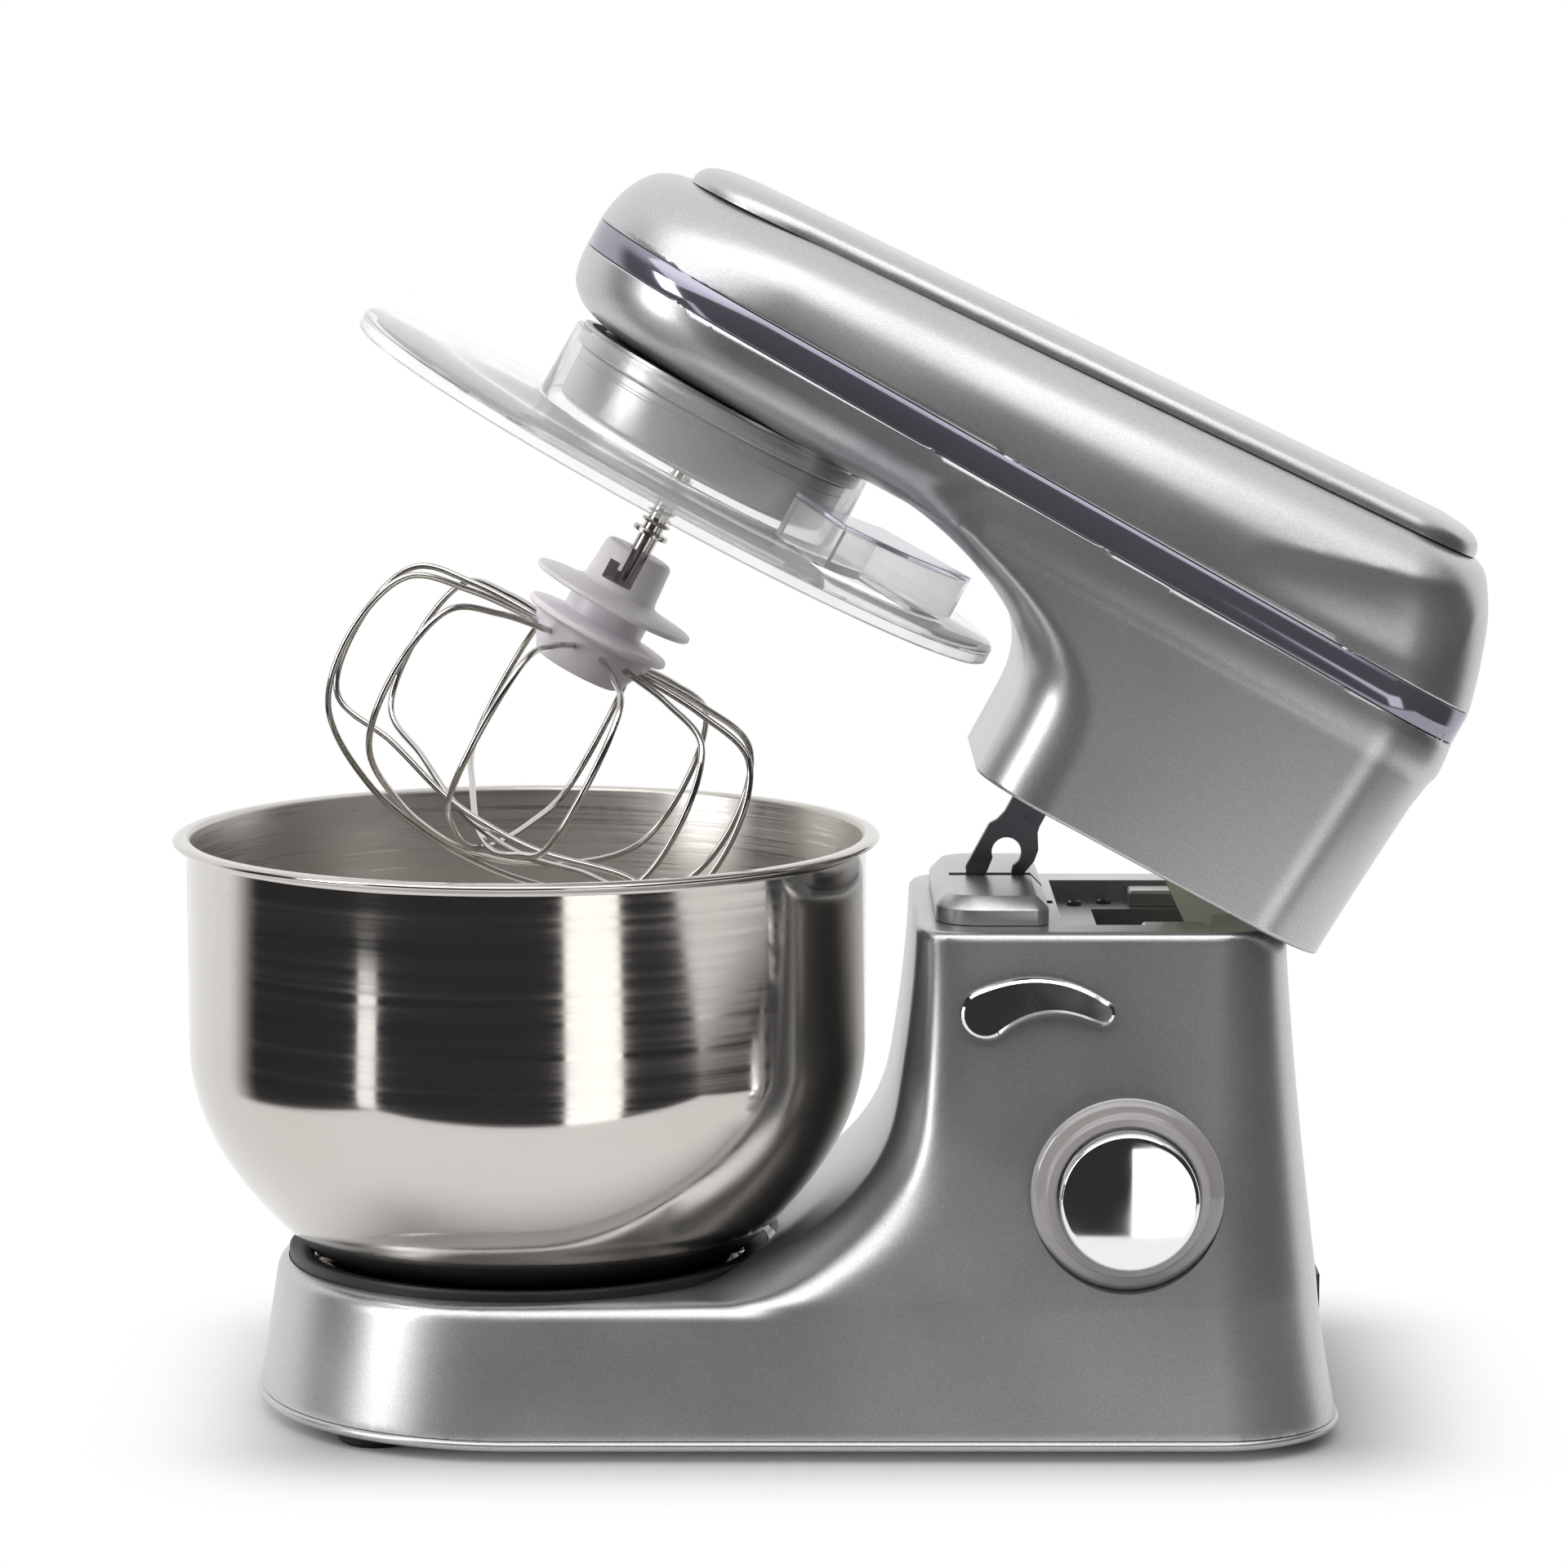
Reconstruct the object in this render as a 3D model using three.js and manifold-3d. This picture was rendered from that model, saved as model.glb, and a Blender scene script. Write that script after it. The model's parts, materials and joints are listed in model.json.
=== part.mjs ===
// Tilt-head stand mixer with its head raised: millimetres, +Z up, front (bowl side) towards -X.
// Lengths along the mixer are measured from the bowl's axis, and heights from the floor.
// The head is modelled level, in a group whose origin is the hinge pin, and that group is then tilted.

import * as THREE from 'three';
import { LoftGeometry } from 'three/addons/geometries/LoftGeometry.js';
import * as BufferGeometryUtils from 'three/addons/utils/BufferGeometryUtils.js';
import Module from 'manifold-3d';

// ---------- driving dimensions ----------

const GAP = 0.3;                 // clearance between pieces that touch
const RUNNING_GAP = 0.6;         // clearance round pieces that move
const WALL = 3;                  // wall of the moulded housings
const THROUGH = 200;             // reach of a cut that goes right through

// bowl
const BOWL_RIM_Z = 186.7;
const BOWL_RIM_RADIUS = 115.3;
const BOWL_RADIUS = 110.8;
const BOWL_SHOULDER_Z = 118;     // above this the wall is upright
const BOWL_WALL = 1.2;
const BOWL_LIP = 2.4;
const BOWL_ROOM = 5;             // between the bowl and the column
const BOWL_FLOOR_Z = 46;
const BOWL_FLOOR_RADIUS = 66;
const BOWL_STEPS = 6;            // facets up the bowl's curve
const BOWL_FOOT_FLARE = 5;       // foot ring beyond the floor
const BOWL_FOOT_WIDTH = 14;
const BOWL_FOOT_RADIUS = BOWL_FLOOR_RADIUS + BOWL_FOOT_FLARE;
const SEAT_EDGE = 8;             // seat beyond the bowl's foot
const SEAT_RADIUS = BOWL_FOOT_RADIUS + SEAT_EDGE;
const SEAT_HOLE_RADIUS = 20;
const SEAT_DEPTH = 9;            // how far the seat is sunk in the shelf
const SEAT_FLOOR = 3;

// base and column
const SHELF_MARGIN = 9;          // shelf beyond the bowl's seat
const SHELF_HALF_WIDTH = SEAT_RADIUS + SHELF_MARGIN;
const SKIRT_FLARE = 8;           // lower edge of the base beyond the shelf
const BASE_HALF_WIDTH = SHELF_HALF_WIDTH + SKIRT_FLARE;
const BASE_FRONT = -SHELF_HALF_WIDTH;
const BASE_REAR = 261;
const SHELF_REAR = 255;
const SHELF_TOP = 49;
const SHELF_LEAN = 6;            // how far the shelf's front leans back
const SHELF_EDGE = 5;            // rounding of the shelf's upper edge
const REAR_CORNER = 40;
const FOOT_HEIGHT = 4;
const FOOT_RADIUS = 12.5;
const FOOT_LENGTH_OFFSET = 42;   // from the ends of the base to the feet
const FOOT_WIDTH_OFFSET = 30;    // from the sides of the base to the feet
const PLATE_THICKNESS = 3;
const PLATE_EDGE = 1;            // bottom plate beyond the housing
const COLUMN_STEPS = 7;          // facets up the column
const COLUMN_TOP = 163.3;
const COLUMN_TOP_FRONT = 126;
const COLUMN_TOP_REAR = 244.7;
const COLUMN_HALF_WIDTH = 64;
const COLUMN_ROOF = 10;          // thickness of the column's top slab
const COLUMN_LEAN = 18;          // how far the column's front leans forward to its foot
const COLUMN_SWEEP = 46;         // further reach of the fillet into the shelf
const COLUMN_FRONT_CORNER = 22;
const COLUMN_REAR_CORNER = 26;
const SLOT_MARGIN = 12;          // latch slot behind the column's front edge
const SLOT_LENGTH = 34;
const REAR_CUT_DEPTH = 24;       // reach of the rear openings into the housing
const CUT_MARGIN = 10;           // how far a cutting tool stands past what it cuts
const VENT_HALF_WIDTH = 22;
const VENT_LOW = 24;
const VENT_HIGH = 44;
const GLAND_Y = 51;
const GLAND_Z = 17;
const GLAND_HALF_SIZE = 5;

// hinge and tilt
const PIVOT_X = 232;
const PIVOT_DEPTH = 13.3;        // hinge pin below the column's top
const PIVOT_Z = COLUMN_TOP - PIVOT_DEPTH;
const TILT_DEGREES = 28.5;
const PIN_RADIUS = 4;
const BRACKET_HALF_WIDTH = 24;
const LUG_REACH = 44;            // front of a bracket's lug before the pin, at the frame plate
const LUG_BEND = 26;             // middle of its curved lower edge
const LUG_DROP = 6.4;            // that edge's end below the pin
const LUG_RADIUS = 8.5;
const EAR_THICKNESS = 12;
const EAR_RADIUS = 9;

// head, level, measured from the hinge pin
const HEAD_BOTTOM = COLUMN_TOP - PIVOT_Z + GAP;
const HEAD_HALF_WIDTH = 65;
const HEAD_NOSE = -294.5;
const HEAD_UNDERSIDE = 78;
const HEAD_REAR = 24;
const HEAD_FRONT_CORNER = 62;
const HEAD_REAR_CORNER = 30;
const NECK_FRONT = -106;
const NECK_REAR = 18;
const NECK_SWEEP = 60;           // forward reach of the neck under the head
const NECK_SWEEP_LOW = 30;       // where that reach begins
const NECK_DRAW_IN = 1.5;        // neck's sides inside the head's
const NECK_FRONT_CORNER = 24;
const NECK_REAR_CORNER = 26;
const SHAFT_HOLE_RADIUS = 30;    // opening in the underside for the carrier's shaft
const BAND_LOW = 93.6;           // trim band's lower edge over the hinge pin
const BAND_HIGH = 104.1;         // its upper edge there
const BAND_DEPTH = 2.2;
const SHELL_TOP = 148.9;         // flat top under the cover, over the hinge pin
const COVER_HEIGHT = 7;
const COVER_HALF_WIDTH = 44;
const COVER_FRONT_MARGIN = 20;
const COVER_REAR_MARGIN = 21;

// planetary drive, on an axis that lies over the bowl's when the head is down
const AXIS_X = -PIVOT_X;
const GEAR_MODULE = 1.5;
const PLANET_TEETH = 11;
const RING_TEETH = 33;
const ORBIT_RADIUS = (RING_TEETH - PLANET_TEETH) * GEAR_MODULE / 2;
const DRUM_RADIUS = 48.5;
const DRUM_BOTTOM = 55;
const DRUM_TOP = 70;
const SHAFT_RADIUS = 3.4;
const SHAFT_END = -2;
const CARRIER_SHAFT_RADIUS = 5;
const DRIVE_SHAFT_RADIUS = 4;
const CARRIER_MODULE = 1.5;
const CARRIER_TEETH = 48;
const PINION_TEETH = 12;
const CARRIER_GEAR_Z = 86;
const GEAR_HEIGHT = 7;
const PULLEY_Z = 106;
const BELT_WIDTH = 8;
const BELT_THICKNESS = 1.6;
const DRIVE_PULLEY_RADIUS = 30;
const MOTOR_PULLEY_RADIUS = 8;
const MOTOR_X = -46;
const MOTOR_RADIUS = 42;
const MOTOR_HALF_FLAT = 34;
const MOTOR_HIGH = 92;
const ROTOR_RADIUS = 24;
const MOTOR_SHAFT_RADIUS = 4;
const FAN_RADIUS = 31;
const FAN_BLADES = 9;
const RING_GEAR_RADIUS = 44.2;
const GEARBOX_PLATE_RADIUS = 41;
const FRAME_PLATE_LOW = 23;
const FRAME_PLATE_HIGH = 28;
const FRAME_PLATE_FRONT = -92;
const FRAME_PLATE_REAR = 4;
const FRAME_PLATE_HALF_WIDTH = 46;

// splash guard
const GUARD_RADIUS = 115;
const GUARD_Z = 46;
const GUARD_WALL = 2;
const GUARD_COLLAR_RADIUS = 54;
const CHUTE_MARGIN = 12;         // between the collar and the chute
const CHUTE_LENGTH = 34;
const CHUTE_HEIGHT = 13;
const FLAP_THICKNESS = 1.6;
const CHUTE_HALF_ANGLE = 22;     // degrees
const CHUTE_ANGLE = -38;         // degrees from the rear, towards the lever's side

// whisk
const HUB_TOP = 18.5;
const HUB_RADIUS = 9;
const HUB_UPPER_FLANGE_RADIUS = 28;
const HUB_UPPER_FLANGE_Z = 1.5;
const HUB_LOWER_FLANGE_RADIUS = 25;
const HUB_LOWER_FLANGE_Z = -10;
const HUB_BOTTOM = -26;
const WIRE_RADIUS = 1.1;
const WIRE_LOOPS = 6;
const WIRE_ROOT = 18.1;          // where the wires leave the hub
const WHISK_RADIUS = 73;
const WHISK_SHOULDER = -32;
const WHISK_WAIST = -66;
const WHISK_TIP = -98;

// controls
const KNOB_X = 192;
const KNOB_Z = 83;
const KNOB_RADIUS = 22;
const KNOB_HEIGHT = 15;
const KNOB_RING_RADIUS = 30.5;
const KNOB_RING_HEIGHT = 7;
const KNOB_SHAFT_RADIUS = 4;
const KNOB_BOSS = 12;            // depth of the boss inside the wall
const BOARD_DEPTH = 24;          // from the knob's seat to the switch
const BOARD_HALF_LENGTH = 30;
const BOARD_HALF_HEIGHT = 24;
const BOARD_POST_OFFSET = 24;
const LEVER_X = 147.4;
const LEVER_DROP = 11;           // lever's shaft below the hinge pin
const LEVER_Z = PIVOT_Z - LEVER_DROP;
const LEVER_HEAD_RADIUS = 8;
const LEVER_TAIL_RADIUS = 4;
const LEVER_LENGTH = 41;
const LEVER_THICKNESS = 4;
const LEVER_SHAFT_RADIUS = 4;

// latch: a hook under the head, a bolt in the column, and the cover over them
const HOOK_THICKNESS = 3;
const HOOK_FRONT = -87.5;
const HOOK_REAR = -75;
const HOOK_TOP = 22.5;
const HOOK_TIP = -18.5;
const HOOK_HOLE_X = -80.5;       // in the level head, from the hinge pin
const HOOK_HOLE_Z = -9.5;
const HOOK_HOLE_RADIUS = 4.8;
const BOLT_RADIUS = 2.6;
const BOLT_WIDTH = 4.7;
const CAM_REACH = 12.5;
const CAM_HALF = 2.5;
const CAM_WIDTH = 6;
const CAM_INNER = -24;
const HUMP_CLEARANCE = 3.5;      // between the cover and the neck's wall
const HUMP_LENGTH = 36;
const HUMP_HALF_WIDTH = 50;
const HUMP_HEIGHT = 9;
const HUMP_BEVEL = 4;
const HUMP_FRONT_CORNER = 14;
const HUMP_REAR_CORNER = 5;
const POCKET_FRONT = 186;
const RECESS_REAR = 222;
const RECESS_HALF_WIDTH = 47;
const RECESS_DEPTH = 6.5;

const wasm = await Module();
wasm.setup();

// ---------- materials ----------

const material = (color, roughness, metalness, extra = {}) =>
  new THREE.MeshStandardMaterial({ color, roughness, metalness, ...extra });
const silver = material(0xb9babc, 0.35, 0.7);
const mirror = material(0x4a4a58, 0.08, 1);
const chrome = material(0xe6e6e6, 0.05, 1);
const steel = material(0xc8c6c0, 0.18, 1);
const darkSteel = material(0x55555c, 0.35, 1);
const black = material(0x151515, 0.6, 0);
const rubber = material(0x101010, 0.8, 0);
const clear = material(0xe8ecea, 0.08, 0, { transparent: true, opacity: 0.35 });
const ringPlastic = material(0xbcbab8, 0.2, 0.1);
const white = material(0xeee6ea, 0.4, 0);
const nylon = material(0xe9e6cf, 0.5, 0);
const copper = material(0xa35b31, 0.35, 0.9);
const boardGreen = material(0x1f5b35, 0.6, 0);
const violet = material(0xb9b6dc, 0.15, 0, { transparent: true, opacity: 0.5 });

// ---------- solids ----------

/** The solid of a closed geometry. */
function solid(geometry) {
  const bare = new THREE.BufferGeometry().copy(geometry);
  bare.deleteAttribute('normal');
  bare.deleteAttribute('uv');
  const merged = BufferGeometryUtils.mergeVertices(bare, 1e-4);
  return new wasm.Manifold(new wasm.Mesh({
    numProp: 3,
    vertProperties: new Float32Array(merged.attributes.position.array),
    triVerts: new Uint32Array(merged.index.array),
  }));
}

/** The geometry of a solid. */
function geometryOf(body) {
  const mesh = body.getMesh();
  const geometry = new THREE.BufferGeometry();
  geometry.setAttribute('position', new THREE.BufferAttribute(new Float32Array(mesh.vertProperties), 3));
  geometry.setIndex(new THREE.BufferAttribute(new Uint32Array(mesh.triVerts), 1));
  geometry.computeVertexNormals();
  return geometry;
}

/** A named piece of one material. */
function piece(name, body, finish) {
  const geometry = body.isBufferGeometry ? body : geometryOf(body);
  const mesh = new THREE.Mesh(geometry, finish);
  mesh.name = name;
  return mesh;
}

/** A box between two corners. */
function block(low, high) {
  const size = high.map((value, i) => value - low[i]);
  const geometry = new THREE.BoxGeometry(...size);
  geometry.translate(...low.map((value, i) => value + size[i] / 2));
  return solid(geometry);
}

/** A round bar along Z. */
function barZ(x, y, radius, low, high, sides = 12) {
  const geometry = new THREE.CylinderGeometry(radius, radius, high - low, sides);
  geometry.rotateX(Math.PI / 2);
  geometry.translate(x, y, (low + high) / 2);
  return solid(geometry);
}

/** A round bar along Y. */
function barY(x, z, radius, low, high, sides = 12) {
  const geometry = new THREE.CylinderGeometry(radius, radius, high - low, sides);
  geometry.translate(x, (low + high) / 2, z);
  return solid(geometry);
}

/** A profile of [radius, height] turned about a vertical axis. */
function turned(x, y, profile, sides = 32) {
  const points = profile.map(([radius, height]) => new THREE.Vector2(radius, height));
  const geometry = new THREE.LatheGeometry([...points, points[0].clone()], sides);
  geometry.rotateX(Math.PI / 2);
  geometry.translate(x, y, 0);
  return solid(geometry);
}

/** A profile of [radius, height] turned about an axis along Y, height towards -Y. */
function turnedY(x, z, profile, sides = 32) {
  const points = profile.map(([radius, height]) => new THREE.Vector2(radius, -height));
  const geometry = new THREE.LatheGeometry([...points, points[0].clone()].reverse(), sides);
  geometry.translate(x, 0, z);
  return solid(geometry);
}

/** A shape drawn in X and Z, extruded along Y between low and high. */
function plateXZ(shape, low, high, curveSegments = 10) {
  const geometry = new THREE.ExtrudeGeometry(shape, { depth: high - low, bevelEnabled: false, curveSegments });
  geometry.rotateX(Math.PI / 2);
  geometry.translate(0, high, 0);
  return solid(geometry);
}

/** A shape drawn in X and Y, extruded along Z between low and high. */
function plateXY(shape, low, high, curveSegments = 10) {
  const geometry = new THREE.ExtrudeGeometry(shape, { depth: high - low, bevelEnabled: false, curveSegments });
  geometry.translate(0, 0, low);
  return solid(geometry);
}

/** The union of several solids. */
const joined = (...bodies) => bodies.reduce((all, body) => all.add(body));

/** A horizontal outline with rounded front and rear corners; its height may vary along X. */
function outline(front, rear, halfWidth, frontRadius, rearRadius, height, steps = 4) {
  const heightAt = typeof height === 'function' ? height : () => height;
  const points = [];
  const corner = (centreX, centreY, radiusX, radiusY, from) => {
    for (let i = 0; i <= steps; i++) {
      const angle = from + (Math.PI / 2) * (i / steps);
      const x = centreX + radiusX * Math.cos(angle);
      points.push(new THREE.Vector3(x, centreY + radiusY * Math.sin(angle), heightAt(x)));
    }
  };
  const frontWidth = Math.min(frontRadius, halfWidth - 0.5);
  const rearWidth = Math.min(rearRadius, halfWidth - 0.5);
  corner(rear - rearRadius, halfWidth - rearWidth, rearRadius, rearWidth, 0);
  corner(front + frontRadius, halfWidth - frontWidth, frontRadius, frontWidth, Math.PI / 2);
  corner(front + frontRadius, -halfWidth + frontWidth, frontRadius, frontWidth, Math.PI);
  corner(rear - rearRadius, -halfWidth + rearWidth, rearRadius, rearWidth, Math.PI * 1.5);
  return points;
}

/** The solid through a stack of outlines, lowest first. */
const stacked = (outlines) =>
  solid(new LoftGeometry(outlines, { closed: true, capStart: true, capEnd: true }));

/** A straight-toothed gear, or the cutter of an internal gear. */
function gearShape(teeth, module, addendum, dedendum, phase, crest = 0.22, root = 0.36) {
  const pitch = teeth * module / 2;
  const step = (Math.PI * 2) / teeth;
  const shape = new THREE.Shape();
  for (let i = 0; i < teeth; i++) {
    const centre = phase + i * step;
    const corners = [
      [pitch - dedendum, -root * step], [pitch + addendum, -crest * step / 1.6],
      [pitch + addendum, crest * step / 1.6], [pitch - dedendum, root * step],
    ];
    corners.forEach(([radius, angle], n) => {
      const x = radius * Math.cos(centre + angle);
      const y = radius * Math.sin(centre + angle);
      if (i === 0 && n === 0) shape.moveTo(x, y);
      else shape.lineTo(x, y);
    });
  }
  shape.closePath();
  return shape;
}

/** A gear about a vertical axis. */
function gear(x, y, teeth, module, low, high, phase) {
  const shape = gearShape(teeth, module, 0.6 * module, 0.85 * module, phase);
  return plateXY(shape, low, high).translate([x, y, 0]);
}

// ---------- base ----------

const BASE_BOTTOM = FOOT_HEIGHT + PLATE_THICKNESS;

/** Share of the way from the shelf's top to the column's top, 0 below the shelf's top. */
const riseAt = (z) => Math.max(0, (z - SHELF_TOP) / (COLUMN_TOP - SHELF_TOP));

/** Share of the way from the base's lower edge to the shelf's top, at most 1. */
const skirtAt = (z) => Math.min(1, Math.max(0, (z - BASE_BOTTOM) / (SHELF_TOP - BASE_BOTTOM)));

/** How far the housing's sides stand out from its middle at a height. */
const sideAt = (z) => COLUMN_HALF_WIDTH + (SHELF_HALF_WIDTH - COLUMN_HALF_WIDTH) * (1 - riseAt(z)) ** 1.25
  + (BASE_HALF_WIDTH - SHELF_HALF_WIDTH) * (1 - skirtAt(z));

/** The housing's rear at a height. */
const rearAt = (z) => COLUMN_TOP_REAR + (SHELF_REAR - COLUMN_TOP_REAR) * (1 - riseAt(z)) ** 1.3
  + (BASE_REAR - SHELF_REAR) * (1 - skirtAt(z)) ** 1.4;

/** Front of the column at a height: upright above, swept forward into the shelf below. */
function columnFront(z) {
  const rise = riseAt(z);
  const sweep = Math.max(0, 1 - rise / 0.52) ** 2.6;
  return COLUMN_TOP_FRONT - COLUMN_LEAN * (1 - rise) ** 1.6 - COLUMN_SWEEP * sweep;
}

/** Outlines of the base's shelf, with a rounded upper edge, drawn in by inset. */
function shelfOutlines(inset, bottom, top) {
  const levels = [
    [bottom, 0], [SHELF_TOP / 2, 0], [SHELF_TOP - 1.2 * SHELF_EDGE, 0],
    [SHELF_TOP - 0.4 * SHELF_EDGE, 0.32 * SHELF_EDGE], [top, SHELF_EDGE],
  ].filter(([z], i, all) => i === all.length - 1 || z < top - 0.5);
  return levels.map(([z, draw]) => outline(
    BASE_FRONT + SHELF_LEAN * skirtAt(z) + draw + inset, rearAt(z) - 1 - inset,
    sideAt(z) - draw * 0.8 - inset, SHELF_HALF_WIDTH - inset, REAR_CORNER - inset, z));
}

/** Outlines of the column, drawn in by inset. */
function columnOutlines(inset, bottom, top) {
  const heights = [bottom, SHELF_TOP / 2];
  for (let i = 0; i <= COLUMN_STEPS; i++) heights.push(SHELF_TOP + (top - SHELF_TOP) * (i / COLUMN_STEPS));
  return heights.map((z) => {
    const low = 1 - riseAt(z);
    return outline(columnFront(z) + inset, rearAt(z) - inset, sideAt(z) - inset,
      COLUMN_FRONT_CORNER * (1 + 0.9 * low) - inset,
      COLUMN_REAR_CORNER + (REAR_CORNER - COLUMN_REAR_CORNER) * low - inset, z);
  });
}

const ROOF_BOTTOM = COLUMN_TOP - COLUMN_ROOF;
const BOLT_X = PIVOT_X + HOOK_HOLE_X;
const BOLT_Z = PIVOT_Z + HOOK_HOLE_Z;
const SLOT_FRONT = COLUMN_TOP_FRONT + SLOT_MARGIN;
const SLOT_REAR = SLOT_FRONT + SLOT_LENGTH;
const HUMP_FRONT = PIVOT_X + NECK_FRONT + WALL + HUMP_CLEARANCE;
const HUMP_REAR = HUMP_FRONT + HUMP_LENGTH;
const POCKET_HALF_WIDTH = BRACKET_HALF_WIDTH + 2;
const RECESS_FRONT = HUMP_REAR + 2.5;
const PIN_HALF_LENGTH = POCKET_HALF_WIDTH + EAR_THICKNESS;

/** Outline of the release lever: a comma with a big round head and a curved tail. */
function leverShape(grow) {
  const shape = new THREE.Shape();
  const head = LEVER_HEAD_RADIUS + grow;
  const tail = LEVER_TAIL_RADIUS + grow;
  const tailX = LEVER_X + LEVER_LENGTH - LEVER_TAIL_RADIUS;
  const rise = LEVER_Z - 1;
  shape.absarc(LEVER_X, LEVER_Z, head, Math.PI * 0.62, Math.PI * 1.72, false);
  shape.quadraticCurveTo(LEVER_X + LEVER_LENGTH * 0.45, LEVER_Z + 5.5 - grow, tailX - 1, rise - tail + 1.5);
  shape.absarc(tailX, rise + 1.5, tail, -Math.PI * 0.5, Math.PI * 0.42, false);
  shape.quadraticCurveTo(LEVER_X + LEVER_LENGTH * 0.48, LEVER_Z + 17 + grow,
    LEVER_X + head * Math.cos(Math.PI * 0.62), LEVER_Z + head * Math.sin(Math.PI * 0.62));
  return shape;
}

const LEVER_BACK = -sideAt(LEVER_Z - 10) - 0.4;    // clear of the leaning side all through its travel
const LEVER_FACE = LEVER_BACK - LEVER_THICKNESS;
const KNOB_SEAT = -sideAt(KNOB_Z) - 1.5;
const KNOB_PAD = KNOB_SEAT + 1.5;                  // flat that the ring sits on

function baseHousing() {
  const outer = joined(
    stacked(shelfOutlines(0, BASE_BOTTOM + GAP, SHELF_TOP)),
    stacked(columnOutlines(0, BASE_BOTTOM + GAP, COLUMN_TOP)));
  const inner = joined(
    stacked(shelfOutlines(WALL, BASE_BOTTOM - 1, SHELF_TOP - SEAT_DEPTH - SEAT_FLOOR - WALL)),
    stacked(columnOutlines(WALL, BASE_BOTTOM - 1, ROOF_BOTTOM)));
  const seat = barZ(0, 0, SEAT_RADIUS + GAP, SHELF_TOP - SEAT_DEPTH, SHELF_TOP + THROUGH, 48);
  const recess = block([RECESS_FRONT, -RECESS_HALF_WIDTH, COLUMN_TOP - RECESS_DEPTH],
    [RECESS_REAR, RECESS_HALF_WIDTH, COLUMN_TOP + 5]);
  const pocket = block([POCKET_FRONT, -POCKET_HALF_WIDTH, ROOF_BOTTOM - 20],
    [COLUMN_TOP_REAR - WALL, POCKET_HALF_WIDTH, COLUMN_TOP + 5]);
  const slot = block([SLOT_FRONT, -HOOK_THICKNESS, ROOF_BOTTOM - 5],
    [SLOT_REAR, HOOK_THICKNESS, COLUMN_TOP + 5]);
  const tilt = THREE.MathUtils.degToRad(TILT_DEGREES);
  const rearBevel = block([0, -THROUGH, 0], [THROUGH, THROUGH, THROUGH])
    .rotate([0, TILT_DEGREES, 0])
    .translate([PIVOT_X + (HEAD_BOTTOM - 1) * Math.sin(tilt) - 4,
      0, PIVOT_Z + (HEAD_BOTTOM - 1) * Math.cos(tilt) + 2.1 - 0.6]);
  const ear = (low) => plateXZ(earShape(), low, low + EAR_THICKNESS);
  const pinHole = barY(PIVOT_X, PIVOT_Z, PIN_RADIUS + GAP, -PIN_HALF_LENGTH - 1, PIN_HALF_LENGTH + 1);
  const knobHole = barY(KNOB_X, KNOB_Z, KNOB_SHAFT_RADIUS + 2, -THROUGH, 0);
  const leverHole = barY(LEVER_X, LEVER_Z, LEVER_SHAFT_RADIUS + RUNNING_GAP, -THROUGH, 0);
  const knobFlat = barY(KNOB_X, KNOB_Z, KNOB_RING_RADIUS + GAP, -THROUGH, KNOB_PAD, 40);
  const cutFront = SHELF_REAR - REAR_CUT_DEPTH;
  const cutRear = BASE_REAR + CUT_MARGIN;
  const ventHole = block([cutFront, -VENT_HALF_WIDTH, VENT_LOW], [cutRear, VENT_HALF_WIDTH, VENT_HIGH]);
  const glandHole = block([cutFront, GLAND_Y - GLAND_HALF_SIZE, GLAND_Z - GLAND_HALF_SIZE],
    [cutRear, GLAND_Y + GLAND_HALF_SIZE, GLAND_Z + GLAND_HALF_SIZE]);
  const knobBoss = barY(KNOB_X, KNOB_Z, KNOB_RING_RADIUS + 4, KNOB_SEAT, KNOB_SEAT + KNOB_BOSS, 32);
  return joined(outer.subtract(inner), ear(-PIN_HALF_LENGTH), ear(POCKET_HALF_WIDTH), knobBoss.intersect(outer))
    .subtract(bowlRoom())
    .subtract(joined(seat, recess, pocket, slot))
    .subtract(rearBevel)
    .subtract(joined(pinHole, knobHole, leverHole))
    .subtract(knobFlat)
    .subtract(joined(ventHole, glandHole));
}

/** Room for the bowl, which the column's concave front follows. */
function bowlRoom() {
  const low = SHELF_TOP + 0.02;
  const start = SEAT_RADIUS + 3;
  const side = bowlWall(-BOWL_ROOM).filter(([radius, z]) => z > low + 4 && radius > start);
  const high = COLUMN_TOP + 3 * CUT_MARGIN;
  return turned(0, 0, [[0, low], [start, low], ...side, [BOWL_RADIUS + BOWL_ROOM, high], [0, high]], 48);
}

/** Side view of a hinge ear, hanging from the column's roof round the pin. */
function earShape() {
  const shape = new THREE.Shape();
  shape.moveTo(PIVOT_X - EAR_RADIUS, ROOF_BOTTOM + 2);
  shape.lineTo(PIVOT_X - EAR_RADIUS, PIVOT_Z);
  shape.absarc(PIVOT_X, PIVOT_Z, EAR_RADIUS, Math.PI, Math.PI * 2, false);
  shape.lineTo(PIVOT_X + EAR_RADIUS, ROOF_BOTTOM + 2);
  shape.closePath();
  return shape;
}

function bottomPlate() {
  const edge = outline(BASE_FRONT - PLATE_EDGE, BASE_REAR + PLATE_EDGE, BASE_HALF_WIDTH + PLATE_EDGE,
    SHELF_HALF_WIDTH, REAR_CORNER + 3 * PLATE_EDGE, FOOT_HEIGHT, 9);
  const upper = edge.map((point) => new THREE.Vector3(point.x, point.y, BASE_BOTTOM));
  return stacked([edge, upper]);
}

/** A rubber foot: a low turned button under the bottom plate. */
function foot(x, y) {
  return turned(x, y, [
    [0, 0], [FOOT_RADIUS - 1.5, 0], [FOOT_RADIUS, 1.5], [FOOT_RADIUS, FOOT_HEIGHT - GAP], [0, FOOT_HEIGHT - GAP],
  ], 16);
}

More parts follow.
